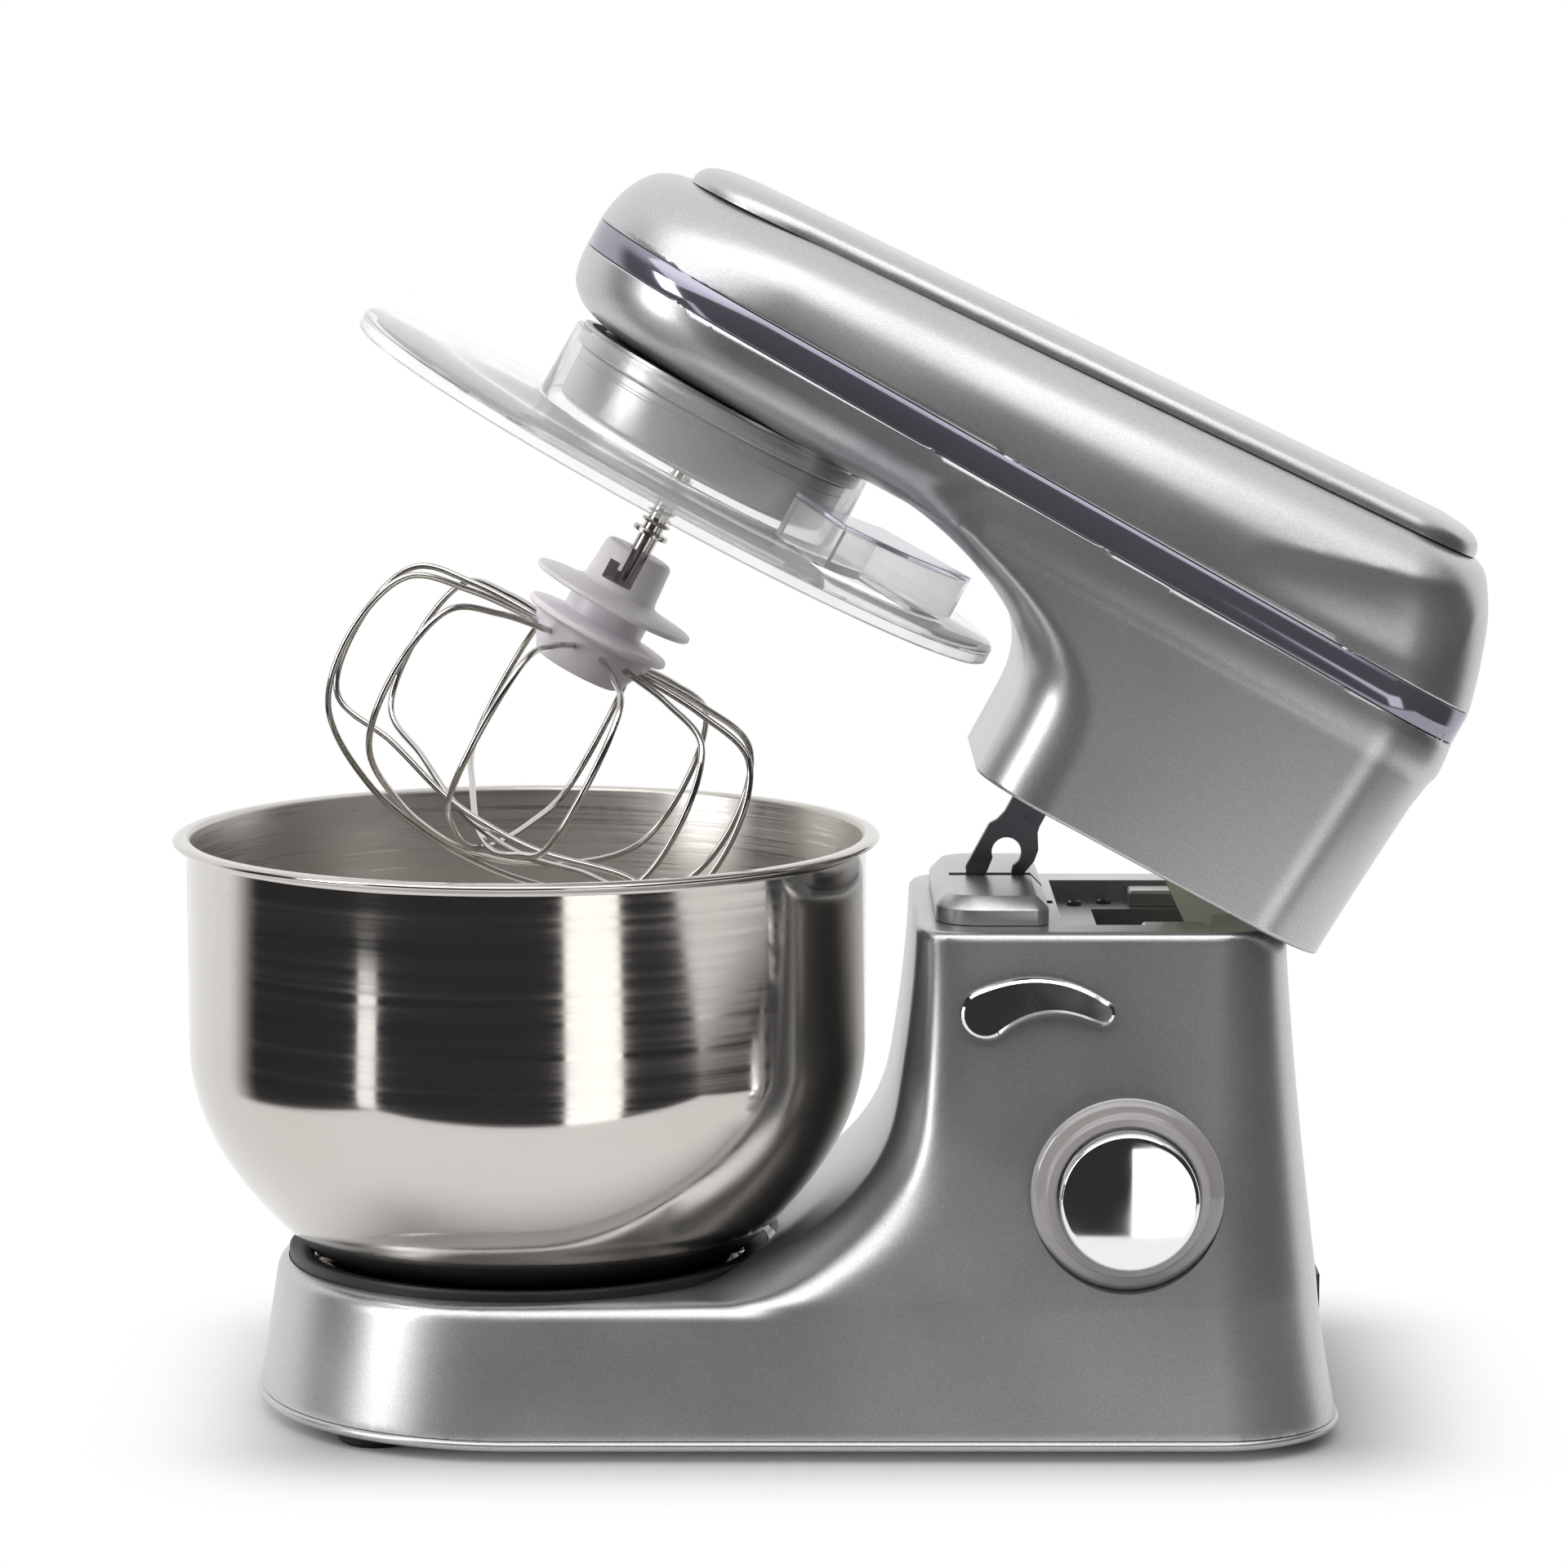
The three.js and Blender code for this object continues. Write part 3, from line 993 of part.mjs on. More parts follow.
/** Post between the housing's knob boss and the switch board. */
function boardPost(side) {
  return barY(KNOB_X + side * BOARD_POST_OFFSET, KNOB_Z, 3.5,
    KNOB_SEAT + KNOB_BOSS + GAP, KNOB_PAD + BOARD_DEPTH + 6 - GAP);
}

/** Louvred vent let into the base's rear. */
function rearVent() {
  const low = VENT_LOW + GAP;
  const high = VENT_HIGH - GAP;
  const half = VENT_HALF_WIDTH - GAP;
  const bar = 1.7;
  const x = rearAt(VENT_LOW) + 1;
  const bars = [0, 1, 2, 3].map((i) => low + (high - low - bar) * i / 3)
    .map((z) => block([x - 6, -half, z], [x, half, z + bar]));
  const ends = [-1, 1].map((side) =>
    block([x - 6, side * half - (side > 0 ? 2 : 0), low], [x, side * half + (side > 0 ? 0 : 2), high]));
  return joined(...bars, ...ends);
}

/** Rubber gland where the mains lead leaves the base. */
function cordGland() {
  const square = (half, front, rear) => block([front, GLAND_Y - half, GLAND_Z - half], [rear, GLAND_Y + half, GLAND_Z + half]);
  const x = rearAt(GLAND_Z) + 1.8;
  return square(GLAND_HALF_SIZE - GAP, x - 6, x)
    .subtract(square(GLAND_HALF_SIZE - WALL, x - 7, x + 1));
}

const hingePin = () => barY(PIVOT_X, PIVOT_Z, PIN_RADIUS, -PIN_HALF_LENGTH + 0.5, PIN_HALF_LENGTH - 0.5, 24);

// ---------- assembly ----------

const mixer = new THREE.Group();
const head = new THREE.Group();
head.position.set(PIVOT_X, 0, PIVOT_Z);
head.rotation.y = THREE.MathUtils.degToRad(TILT_DEGREES);
mixer.add(head);

mixer.add(piece('base_housing', baseHousing(), silver));
mixer.add(piece('bottom_plate', bottomPlate(), silver));
for (const [end, x] of [['front', BASE_FRONT + FOOT_LENGTH_OFFSET], ['rear', BASE_REAR - FOOT_LENGTH_OFFSET]]) {
  for (const [side, sign] of [['near', -1], ['far', 1]]) {
    mixer.add(piece(`foot_${end}_${side}`, foot(x, sign * (BASE_HALF_WIDTH - FOOT_WIDTH_OFFSET)), rubber));
  }
}
mixer.add(piece('bowl_seat', bowlSeat(), black));
mixer.add(piece('bowl', bowl(), steel));
mixer.add(piece('bowl_foot', bowlFoot(), steel));
mixer.add(piece('latch_cover', latchCover(), silver));
mixer.add(piece('knob_ring', knobRing(), ringPlastic));
mixer.add(piece('speed_knob', speedKnob(), chrome));
mixer.add(piece('knob_shaft', knobShaft(), darkSteel));
mixer.add(piece('switch_board', switchBoard(), boardGreen));
mixer.add(piece('board_post_front', boardPost(-1), white));
mixer.add(piece('board_post_rear', boardPost(1), white));
mixer.add(piece('release_lever', releaseLever(), chrome));
mixer.add(piece('lever_shaft', leverShaft(), darkSteel));
mixer.add(piece('latch_bolt', latchBolt(), darkSteel));
mixer.add(piece('hinge_pin', hingePin(), darkSteel));
mixer.add(piece('rear_vent', rearVent(), black));
mixer.add(piece('cord_gland', cordGland(), rubber));

head.add(piece('head_lower_shell', headLowerShell(), silver));
head.add(piece('head_upper_shell', headUpperShell(), silver));
head.add(piece('trim_band', trimBand(), mirror));
head.add(piece('top_cover', topCover(), silver));
head.add(piece('latch_hook', latchHook(), darkSteel));
head.add(piece('head_bracket', headBracket(), nylon));
head.add(piece('motor_stator', motorStator(), darkSteel));
head.add(piece('motor_rotor', motorRotor(), copper));
head.add(piece('motor_fan', motorFan(), black));
head.add(piece('motor_pulley', pulley(MOTOR_X, MOTOR_PULLEY_RADIUS, 4), darkSteel));
head.add(piece('drive_pulley', pulley(DRIVE_X, DRIVE_PULLEY_RADIUS, 4), black));
head.add(piece('drive_belt', driveBelt(), rubber));
head.add(piece('drive_shaft', driveShaft(), steel));
head.add(piece('drive_pinion', drivePinion(), steel));
head.add(piece('carrier_gear', carrierGear(), nylon));
head.add(piece('carrier_shaft', carrierShaft(), steel));
head.add(piece('gearbox_plate', gearboxPlate(), darkSteel));
head.add(piece('planet_carrier', planetCarrier(), silver));
head.add(piece('guard_mount', guardMount(), silver));
head.add(piece('ring_gear', ringGear(), darkSteel));
head.add(piece('planet_gear', planetGear(), steel));
head.add(piece('output_shaft', outputShaft(), steel));
head.add(piece('cross_pin', crossPin(), steel));
head.add(piece('splash_guard', splashGuard(), clear));
head.add(piece('guard_chute', guardChute(), clear));
head.add(piece('chute_flap', chuteFlap(), violet));
head.add(piece('whisk_hub', whiskHub(), white));
for (let number = 0; number < WIRE_LOOPS; number++) {
  head.add(piece(`whisk_wire_${number + 1}`, whiskWire(number), steel));
}

// the origin is the middle of the whole mixer's box, on the floor
mixer.updateMatrixWorld(true);
const bounds = new THREE.Box3().setFromObject(mixer, true);
mixer.position.set(-(bounds.min.x + bounds.max.x) / 2, -(bounds.min.y + bounds.max.y) / 2, -bounds.min.z);

export default mixer;
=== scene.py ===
import json
import math

import bmesh
import bpy
import numpy as np
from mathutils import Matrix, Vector


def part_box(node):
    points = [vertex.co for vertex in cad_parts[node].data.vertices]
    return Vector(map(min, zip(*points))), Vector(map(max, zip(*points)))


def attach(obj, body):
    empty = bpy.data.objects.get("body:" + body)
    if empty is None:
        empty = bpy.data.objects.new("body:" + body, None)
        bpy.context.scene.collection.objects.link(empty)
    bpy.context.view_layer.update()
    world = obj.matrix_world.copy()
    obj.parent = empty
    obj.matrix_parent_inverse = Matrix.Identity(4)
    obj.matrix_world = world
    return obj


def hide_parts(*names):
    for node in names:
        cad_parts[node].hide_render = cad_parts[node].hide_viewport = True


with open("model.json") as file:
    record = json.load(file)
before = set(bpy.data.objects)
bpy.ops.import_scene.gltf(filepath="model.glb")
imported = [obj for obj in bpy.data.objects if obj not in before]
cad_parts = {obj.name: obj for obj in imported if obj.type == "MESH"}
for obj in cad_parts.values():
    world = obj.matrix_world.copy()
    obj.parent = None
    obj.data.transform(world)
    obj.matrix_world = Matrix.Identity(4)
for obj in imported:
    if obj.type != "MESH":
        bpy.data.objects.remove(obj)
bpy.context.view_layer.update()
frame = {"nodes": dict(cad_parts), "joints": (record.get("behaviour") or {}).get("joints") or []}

# ---------- the frame's own places, in millimetres ----------
# Lengths along the mixer count from the bowl's axis, heights from the floor.
# The head is built level, from the hinge pin, and then tilted with it.

MM = 0.001
joints = {joint["name"]: joint for joint in frame["joints"]}
bowl_low, bowl_high = (np.array(corner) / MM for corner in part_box("bowl"))
BOWL_X = (bowl_low[0] + bowl_high[0]) / 2
PIVOT = np.array(joints["head_tilt"]["pos_m"]) / MM
PIVOT_X = PIVOT[0] - BOWL_X
PIVOT_Z = PIVOT[2]
TILT = math.radians(-joints["head_tilt"]["range_deg"][0])
AXIS_X = -PIVOT_X
ORBIT = 16.5
LEVER_AXIS = np.array(joints["release_lever_press"]["pos_m"]) / MM
KNOB_AXIS = np.array(joints["speed_knob_turn"]["pos_m"]) / MM


def placed(points):
    """Points counted from the bowl's axis, as frame coordinates in metres."""
    return (np.asarray(points, float) + [BOWL_X, 0, 0]) * MM


def tilted(points):
    """Points of the level head, counted from the hinge pin, as frame coordinates in metres.

    The turn by the tilt about Y: x' = x cos t + z sin t, z' = z cos t - x sin t.
    """
    x, y, z = np.asarray(points, float).T
    c, s = math.cos(TILT), math.sin(TILT)
    return np.stack([PIVOT[0] + x * c + z * s, y, PIVOT[2] - x * s + z * c], 1) * MM


# ---------- meshes ----------


def skin(name, points, faces):
    """An object from points in metres, its doubles merged and its faces turned outwards."""
    mesh = bpy.data.meshes.new(name)
    mesh.from_pydata(points.tolist(), [], faces)
    mesh.validate()
    obj = bpy.data.objects.new(name, mesh)
    bpy.context.scene.collection.objects.link(obj)
    edit = bmesh.new()
    edit.from_mesh(mesh)
    bmesh.ops.remove_doubles(edit, verts=edit.verts, dist=1e-6)
    bmesh.ops.recalc_face_normals(edit, faces=edit.faces)
    edit.to_mesh(mesh)
    edit.free()
    return obj


def piece(name, points, faces, body, material, replaces=(), slot=None, place=placed, crease=35, bevel=0.0):
    """A new piece from points in millimetres, riding on a body."""
    return dressed(skin(name, place(points), faces), body, material, replaces, crease, bevel)


def dressed(obj, body, material, replaces=(), crease=35, bevel=0.0):
    """Gives an object its material, smooth shading and body."""
    obj.data.materials.clear()
    obj.data.materials.append(material)
    smooth(obj, crease)
    if bevel:
        rounding = obj.modifiers.new("edges", "BEVEL")
        rounding.width = bevel * MM
        rounding.segments = 3
        rounding.limit_method = "ANGLE"
        rounding.angle_limit = math.radians(crease)
        rounding.harden_normals = True
    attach(obj, body)
    if replaces:
        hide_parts(*replaces)
    return obj


def smooth(obj, crease=35):
    """Smooth shading that stays sharp where faces meet at more than the crease angle."""
    obj.data.polygons.foreach_set("use_smooth", [True] * len(obj.data.polygons))
    obj.data.set_sharp_from_angle(angle=math.radians(crease))


def woven(rows, columns, looped=False):
    """Quads between neighbouring rings of points, and between the last and the first if looped."""
    row, at = np.mgrid[:rows if looped else rows - 1, :columns]
    after, beside = (row + 1) % rows, (at + 1) % columns
    corners = [row * columns + at, row * columns + beside, after * columns + beside, after * columns + at]
    return np.stack(corners, -1).reshape(-1, 4)


def turned(profile, centre, segments=160):
    """A closed profile of (radius, height) revolved about Z through centre: x = r cos a, y = r sin a."""
    r, z = np.asarray(profile, float).T
    a = np.linspace(0, 2 * math.pi, segments, endpoint=False)[:, None]
    x, y, z = np.broadcast_arrays(centre[0] + r * np.cos(a), centre[1] + r * np.sin(a), z)
    off_axis = np.tile(np.maximum(r, np.roll(r, -1)) > 1e-6, segments)
    faces = woven(segments, len(r), True)[off_axis][:, [0, 3, 2, 1]]
    return np.stack([x, y, z], -1).reshape(-1, 3), faces.tolist()


def turned_y(profile, centre, segments=128):
    """A profile revolved about a line along Y, its height towards -Y."""
    points, faces = turned(profile, (0, 0), segments)
    x, y, z = points.T
    return np.stack([x + centre[0], -z, y + centre[1]], 1), faces


def tube(path, radius, sides=10):
    """A round wire along a path: p + r (cos a n + sin a m), its two normals n and m carried along."""
    path = np.asarray(path, float)
    tangent = np.gradient(path, axis=0)
    tangent /= np.linalg.norm(tangent, axis=1)[:, None]
    normals = [np.cross(tangent[0], [0.3, 0.5, 0.8])]
    for along in tangent:
        normal = normals[-1] - along * np.dot(normals[-1], along)
        normals.append(normal / np.linalg.norm(normal))
    normal = np.array(normals[1:])
    other = np.cross(tangent, normal)
    a = np.linspace(0, 2 * math.pi, sides, endpoint=False)[:, None]
    return stacked(path[:, None] + radius * (np.cos(a) * normal[:, None] + np.sin(a) * other[:, None]))


def stacked(rings):
    """A surface through rings of equal counts, closed at both ends."""
    n, count = len(rings[0]), len(rings)
    caps = [list(range(n))[::-1], list(range((count - 1) * n, count * n))]
    return np.concatenate(rings), woven(count, n).tolist() + caps


def hoop(rings):
    """A closed band: each ring joined to the next, and the last to the first."""
    return np.concatenate(rings), woven(len(rings), len(rings[0]), True).tolist()


def arc(centre, radius, start, end, steps):
    """Points of an arc: c + r (cos a, sin a)."""
    a = np.linspace(start, end, steps)
    return np.stack([centre[0] + radius * np.cos(a), centre[1] + radius * np.sin(a)], 1)


def level(outline, z):
    """An outline of (x, y) at a height."""
    return np.insert(np.asarray(outline, float), 2, z, 1)


def upright(outline, y):
    """An outline of (x, z) at a place across."""
    return np.insert(np.asarray(outline, float), 1, y, 1)


def block(low, high):
    """A box between two corners."""
    x0, y0, z0 = low
    x1, y1, z1 = high
    return stacked([level([(x0, y0), (x1, y0), (x1, y1), (x0, y1)], z) for z in (z0, z1)])


def prism(outline, low, high):
    """An outline of (x, z) extruded along Y."""
    return stacked([upright(outline, y) for y in (low, high)])


def cut(obj, points, faces, place=placed):
    """Cuts a closed solid away from a piece."""
    cutter = skin("cutter", place(points), faces)
    trim = obj.modifiers.new("cut", "BOOLEAN")
    trim.operation = "DIFFERENCE"
    trim.solver = "EXACT"
    trim.object = cutter
    bpy.context.view_layer.update()
    shape = bpy.data.meshes.new_from_object(obj.evaluated_get(bpy.context.evaluated_depsgraph_get()))
    obj.modifiers.clear()
    obj.data = shape
    bpy.data.objects.remove(cutter)


def drawn_on(value, points, reach, turns=3):
    """Points moved onto value(x, y, z) = 0 by Newton steps along its slope, none longer than the reach."""
    small = 0.05
    for _ in range(turns):
        here = value(*points.T)
        rises = [value(*(points + d).T) - value(*(points - d).T) for d in small * np.eye(3)]
        slope = np.stack(rises, 1) / (2 * small)
        move = -here[:, None] * slope / np.maximum((slope ** 2).sum(1), 0.05)[:, None]
        length = np.linalg.norm(move, axis=1)[:, None]
        points = points + move * np.minimum(1, reach / np.maximum(length, 1e-9))
    return points


def surface(value, low, high, step):
    """Mesh of value(x, y, z) = 0 by surface nets.

    Each cell that the surface crosses has a point, evened out among its neighbours and drawn onto the form.
    Each crossed edge of the grid has a quad.
    """
    axes = [np.arange(a, b + step, step) for a, b in zip(low, high)]
    inside = value(*np.meshgrid(*axes, indexing="ij")) < 0
    rows, columns, layers = np.array(inside.shape) - 1
    corners = sum(inside[i:rows + i, j:columns + j, k:layers + k].astype(np.int8)
                  for i in (0, 1) for j in (0, 1) for k in (0, 1))
    active = (corners > 0) & (corners < 8)
    number = -np.ones(active.shape, int)
    number[active] = np.arange(active.sum())
    faces = []
    for axis in range(3):
        one, two = [(1, 2), (2, 0), (0, 1)][axis]
        first = np.take(inside, range(inside.shape[axis] - 1), axis)
        second = np.take(inside, range(1, inside.shape[axis]), axis)
        spots = np.argwhere(first != second)
        spots = spots[(spots[:, one] > 0) & (spots[:, two] > 0)
                      & (spots[:, one] < inside.shape[one] - 1) & (spots[:, two] < inside.shape[two] - 1)]
        quad = []
        for a, b in ((-1, -1), (0, -1), (0, 0), (-1, 0)):
            cell = spots.copy()
            cell[:, one] += a
            cell[:, two] += b
            quad.append(number[tuple(cell.T)])
        quad = np.stack(quad, 1)
        backwards = ~first[tuple(spots.T)]
        quad[backwards] = quad[backwards][:, ::-1]
        faces.append(quad)
    faces = np.concatenate(faces)
    points = drawn_on(value, np.array(low, float) + (np.argwhere(active) + 0.5) * step, step)
    for _ in range(3):
        total, count = np.zeros_like(points), np.zeros(len(points))
        for side in (1, 3):
            np.add.at(total, faces, points[np.roll(faces, side, 1)])
            np.add.at(count, faces, 1)
        points = drawn_on(value, 0.4 * points + 0.6 * total / np.maximum(count, 1)[:, None], step)
    return points, faces.tolist()


def sliced(points, faces, planes, closed=False):
    """Part of a mesh behind planes of (point, normal): what lies on the normal's side is taken away.

    Points that the merging of doubles moved off a plane go back onto it.
    """
    mesh = bpy.data.meshes.new("slice")
    mesh.from_pydata(points.tolist(), [], faces)
    edit = bmesh.new()
    edit.from_mesh(mesh)
    for spot, normal in planes:
        bmesh.ops.bisect_plane(edit, geom=edit.verts[:] + edit.edges[:] + edit.faces[:], dist=1e-4,
                               plane_co=spot, plane_no=normal, clear_outer=True)
    bmesh.ops.remove_doubles(edit, verts=edit.verts[:], dist=0.2)
    if closed:
        bmesh.ops.holes_fill(edit, edges=[e for e in edit.edges if e.is_boundary], sides=0)
    edit.to_mesh(mesh)
    points = np.empty(3 * len(mesh.vertices), np.float32)
    mesh.vertices.foreach_get("co", points)
    points = points.reshape(-1, 3).astype(float)
    faces = [list(face.vertices) for face in mesh.polygons]
    edit.free()
    bpy.data.meshes.remove(mesh)
    for spot, normal in planes:
        unit = np.array(normal) / np.linalg.norm(normal)
        height = (points - spot) @ unit
        points -= np.outer(np.where(np.abs(height) < 0.3, height, 0), unit)
    return points, faces


def blend_min(a, b, width):
    """Smooth minimum: joins two shapes with a fillet of about the width."""
    mix = np.clip(0.5 + 0.5 * (b - a) / width, 0, 1)
    return b + (a - b) * mix - width * mix * (1 - mix)


def blend_max(a, b, width):
    """Smooth maximum: intersects two shapes with a rounded edge."""
    return -blend_min(-a, -b, width)


def curve(at, xs, ys):
    """Smooth curve through points (xs, ys), level past its ends: Hermite cubics.

    The slope at a point is the harmonic mean of the secants beside it, or none where they differ in sign.
    """
    xs, ys = np.asarray(xs, float), np.asarray(ys, float)
    secant = np.diff(ys) / np.diff(xs)
    product = secant[1:] * secant[:-1]
    inner = np.where(product > 0, 2 * product / (secant[1:] + secant[:-1] + 1e-12), 0)
    slope = np.concatenate([secant[:1], inner, secant[-1:]])
    at = np.clip(at, xs[0], xs[-1])
    i = np.clip(np.searchsorted(xs, at) - 1, 0, len(xs) - 2)
    width = xs[i + 1] - xs[i]
    t = (at - xs[i]) / width
    return ((1 + 2 * t) * (1 - t) ** 2 * ys[i] + t * (1 - t) ** 2 * width * slope[i]
            + t * t * (3 - 2 * t) * ys[i + 1] + t * t * (t - 1) * width * slope[i + 1])


def rounded_plan(x, y, front, rear, half, front_radius, rear_radius):
    """Distance to a plan outline with rounded front and rear corners, negative inside."""
    middle = (front + rear) / 2
    radius = np.where(x < middle, front_radius, rear_radius)
    qx = np.abs(x - middle) - (rear - front) / 2 + radius
    qy = np.abs(y) - half + radius
    return np.minimum(np.maximum(qx, qy), 0) + np.hypot(np.maximum(qx, 0), np.maximum(qy, 0)) - radius


def plan_ring(front, rear, half, front_radius, rear_radius, z, steps=14):
    """Points of such an outline: four quarter circles c + r (cos a, sin a). Its height may vary along X."""
    at_front, at_rear = (front + front_radius, front_radius), (rear - rear_radius, rear_radius)
    middle_x, radius = np.array([at_rear, at_front, at_front, at_rear]).T[..., None]
    middle_y = (half - radius) * np.array([1, 1, -1, -1])[:, None]
    angle = math.pi / 2 * (np.arange(4)[:, None] + np.linspace(0, 1, steps + 1))
    x = middle_x + radius * np.cos(angle)
    y = middle_y + radius * np.sin(angle)
    return np.stack([x, y, z(x) if callable(z) else np.full_like(x, z)], -1).reshape(-1, 3)


# ---------- materials ----------


def material(name, colour, metallic=0.0, roughness=0.4, **inputs):
    """A principled material; returns it with its node tree and shader."""
    made = bpy.data.materials.new(name)
    made.use_nodes = True
    tree = made.node_tree
    shader = tree.nodes["Principled BSDF"]
    shader.inputs["Base Color"].default_value = (*colour, 1)
    shader.inputs["Metallic"].default_value = metallic
    shader.inputs["Roughness"].default_value = roughness
    for label, value in inputs.items():
        shader.inputs[label.replace("_", " ")].default_value = value
    return made, tree, shader


def noise(tree, scale, detail=2.0, stretch=(1, 1, 1)):
    """Noise in object space, in cycles per metre, stretched along the axes."""
    coordinates = tree.nodes.new("ShaderNodeTexCoord")
    mapping = tree.nodes.new("ShaderNodeMapping")
    mapping.inputs["Scale"].default_value = stretch
    grain = tree.nodes.new("ShaderNodeTexNoise")
    grain.inputs["Scale"].default_value = scale
    grain.inputs["Detail"].default_value = detail
    tree.links.new(coordinates.outputs["Object"], mapping.inputs["Vector"])
    tree.links.new(mapping.outputs["Vector"], grain.inputs["Vector"])
    return grain.outputs["Fac"]


def ramp(tree, source, low, high):
    """Maps 0..1 to low..high."""
    node = tree.nodes.new("ShaderNodeMapRange")
    node.inputs["From Min"].default_value = 0.3
    node.inputs["From Max"].default_value = 0.7
    node.inputs["To Min"].default_value = low
    node.inputs["To Max"].default_value = high
    tree.links.new(source, node.inputs["Value"])
    return node.outputs["Result"]


def bump(tree, shader, source, strength, distance):
    """Bump of a height, in metres."""
    node = tree.nodes.new("ShaderNodeBump")
    node.inputs["Strength"].default_value = strength
    node.inputs["Distance"].default_value = distance
    tree.links.new(source, node.inputs["Height"])
    tree.links.new(node.outputs["Normal"], shader.inputs["Normal"])


def tint(tree, shader, source, dark, light):
    """Colour between two values, by a height."""
    node = tree.nodes.new("ShaderNodeMix")
    node.data_type = "RGBA"
    node.inputs["A"].default_value = (*dark, 1)
    node.inputs["B"].default_value = (*light, 1)
    tree.links.new(source, node.inputs["Factor"])
    tree.links.new(node.outputs["Result"], shader.inputs["Base Color"])


def silver_paint():
    """Satin silver paint: fine metal flakes that glint, with soft clouding of the gloss."""
    made, tree, shader = material(
        "silver_paint", (0.52, 0.52, 0.53), 0.9, 0.34, Coat_Weight=0.25, Coat_Roughness=0.2)
    flakes = noise(tree, 2600, 1)
    tint(tree, shader, ramp(tree, flakes, 0.0, 1.0), (0.44, 0.44, 0.45), (0.60, 0.60, 0.61))
    tree.links.new(ramp(tree, noise(tree, 14, 3), 0.29, 0.37), shader.inputs["Roughness"])
    bump(tree, shader, flakes, 0.05, 0.00005)
    return made


def mirror_band():
    """Dark mirror foil with faint violet."""
    made, tree, shader = material("mirror_band", (0.30, 0.30, 0.36), 0.8, 0.1)
    tree.links.new(ramp(tree, noise(tree, 40, 2), 0.07, 0.14), shader.inputs["Roughness"])
    tint(tree, shader, noise(tree, 9, 1), (0.22, 0.22, 0.28), (0.34, 0.33, 0.39))
    return made


def chrome():
    """Bright plating with slight orange peel."""
    made, tree, shader = material("chrome", (0.86, 0.86, 0.86), 1.0, 0.05)
    tree.links.new(ramp(tree, noise(tree, 60, 2), 0.03, 0.08), shader.inputs["Roughness"])
    bump(tree, shader, noise(tree, 120, 1), 0.02, 0.0001)
    return made


def bowl_steel(name, brushed):
    """Steel spun on a lathe: polished outside, with fine rings round the axis where it is brushed."""
    made, tree, shader = material(name, (0.60, 0.575, 0.54), 1.0, 0.12)
    rings = noise(tree, 700 if brushed else 260, 3, (0.02, 0.02, 1.6))
    low, high = (0.24, 0.42) if brushed else (0.07, 0.15)
    tree.links.new(ramp(tree, rings, low, high), shader.inputs["Roughness"])
    smears = noise(tree, 11, 4, (1, 1, 0.6))
    tint(tree, shader, smears, (0.54, 0.51, 0.47), (0.67, 0.65, 0.62))
    bump(tree, shader, rings, 0.12 if brushed else 0.004, 0.0002)
    return made


def clouded(tree, shader, colour, low, high, scale):
    """Colour that drifts between a darker and a lighter cast of itself."""
    dark = tuple(part * low for part in colour)
    light = tuple(min(1, part * high) for part in colour)
    tint(tree, shader, noise(tree, scale, 3), dark, light)


def plated(name, colour, roughness):
    """Plain machined or stamped metal."""
    made, tree, shader = material(name, colour, 1.0, roughness)
    gloss = ramp(tree, noise(tree, 220, 3), roughness * 0.8, roughness * 1.3)
    tree.links.new(gloss, shader.inputs["Roughness"])
    clouded(tree, shader, colour, 0.85, 1.1, 50)
    bump(tree, shader, noise(tree, 500, 2), 0.05, 0.0001)
    return made


def moulded(name, colour, roughness, grain=900, depth=0.06, **inputs):
    """Moulded plastic or rubber with a fine grain."""
    made, tree, shader = material(name, colour, 0.0, roughness, **inputs)
    gloss = ramp(tree, noise(tree, 30, 3), roughness * 0.85, roughness * 1.2)
    tree.links.new(gloss, shader.inputs["Roughness"])
    clouded(tree, shader, colour, 0.93, 1.04, 18)
    bump(tree, shader, noise(tree, grain, 2), depth, 0.0001)
    return made


def clear_plastic(name, colour, roughness=0.03):
    """Clear moulded plastic with faint flow marks."""
    made, tree, shader = material(name, colour, 0.0, roughness, Transmission_Weight=0.86, IOR=1.3)
    gloss = ramp(tree, noise(tree, 25, 3), roughness * 0.5, roughness * 2)
    tree.links.new(gloss, shader.inputs["Roughness"])
    bump(tree, shader, noise(tree, 30, 1), 0.03, 0.0003)
    return made


SILVER = silver_paint()
BAND = mirror_band()
CHROME = chrome()
BOWL_OUT = bowl_steel("bowl_polished", False)
BOWL_IN = bowl_steel("bowl_brushed", True)
WIRE = plated("whisk_wire", (0.62, 0.60, 0.57), 0.12)
DARK = plated("dark_plate", (0.17, 0.17, 0.19), 0.3)
STEEL = plated("machined_steel", (0.55, 0.52, 0.48), 0.2)
BLACK = moulded("black_plastic", (0.012, 0.012, 0.012), 0.45)
RUBBER = moulded("rubber", (0.01, 0.01, 0.01), 0.75, 600, 0.2)
WHITE = moulded("white_plastic", (0.90, 0.86, 0.90), 0.35, Subsurface_Weight=0.15,
                Subsurface_Radius=(0.004, 0.003, 0.003))
NYLON = moulded("pale_nylon", (0.80, 0.80, 0.66), 0.4)
RING = moulded("ring_plastic", (0.50, 0.48, 0.47), 0.12, Coat_Weight=0.6, Transmission_Weight=0.35)
CLEAR = clear_plastic("clear_plastic", (0.985, 0.99, 0.985))
VIOLET = clear_plastic("violet_plastic", (0.86, 0.85, 0.96), 0.05)
COPPER = plated("windings", (0.55, 0.24, 0.11), 0.35)
BOARD = moulded("board", (0.03, 0.16, 0.07), 0.5)

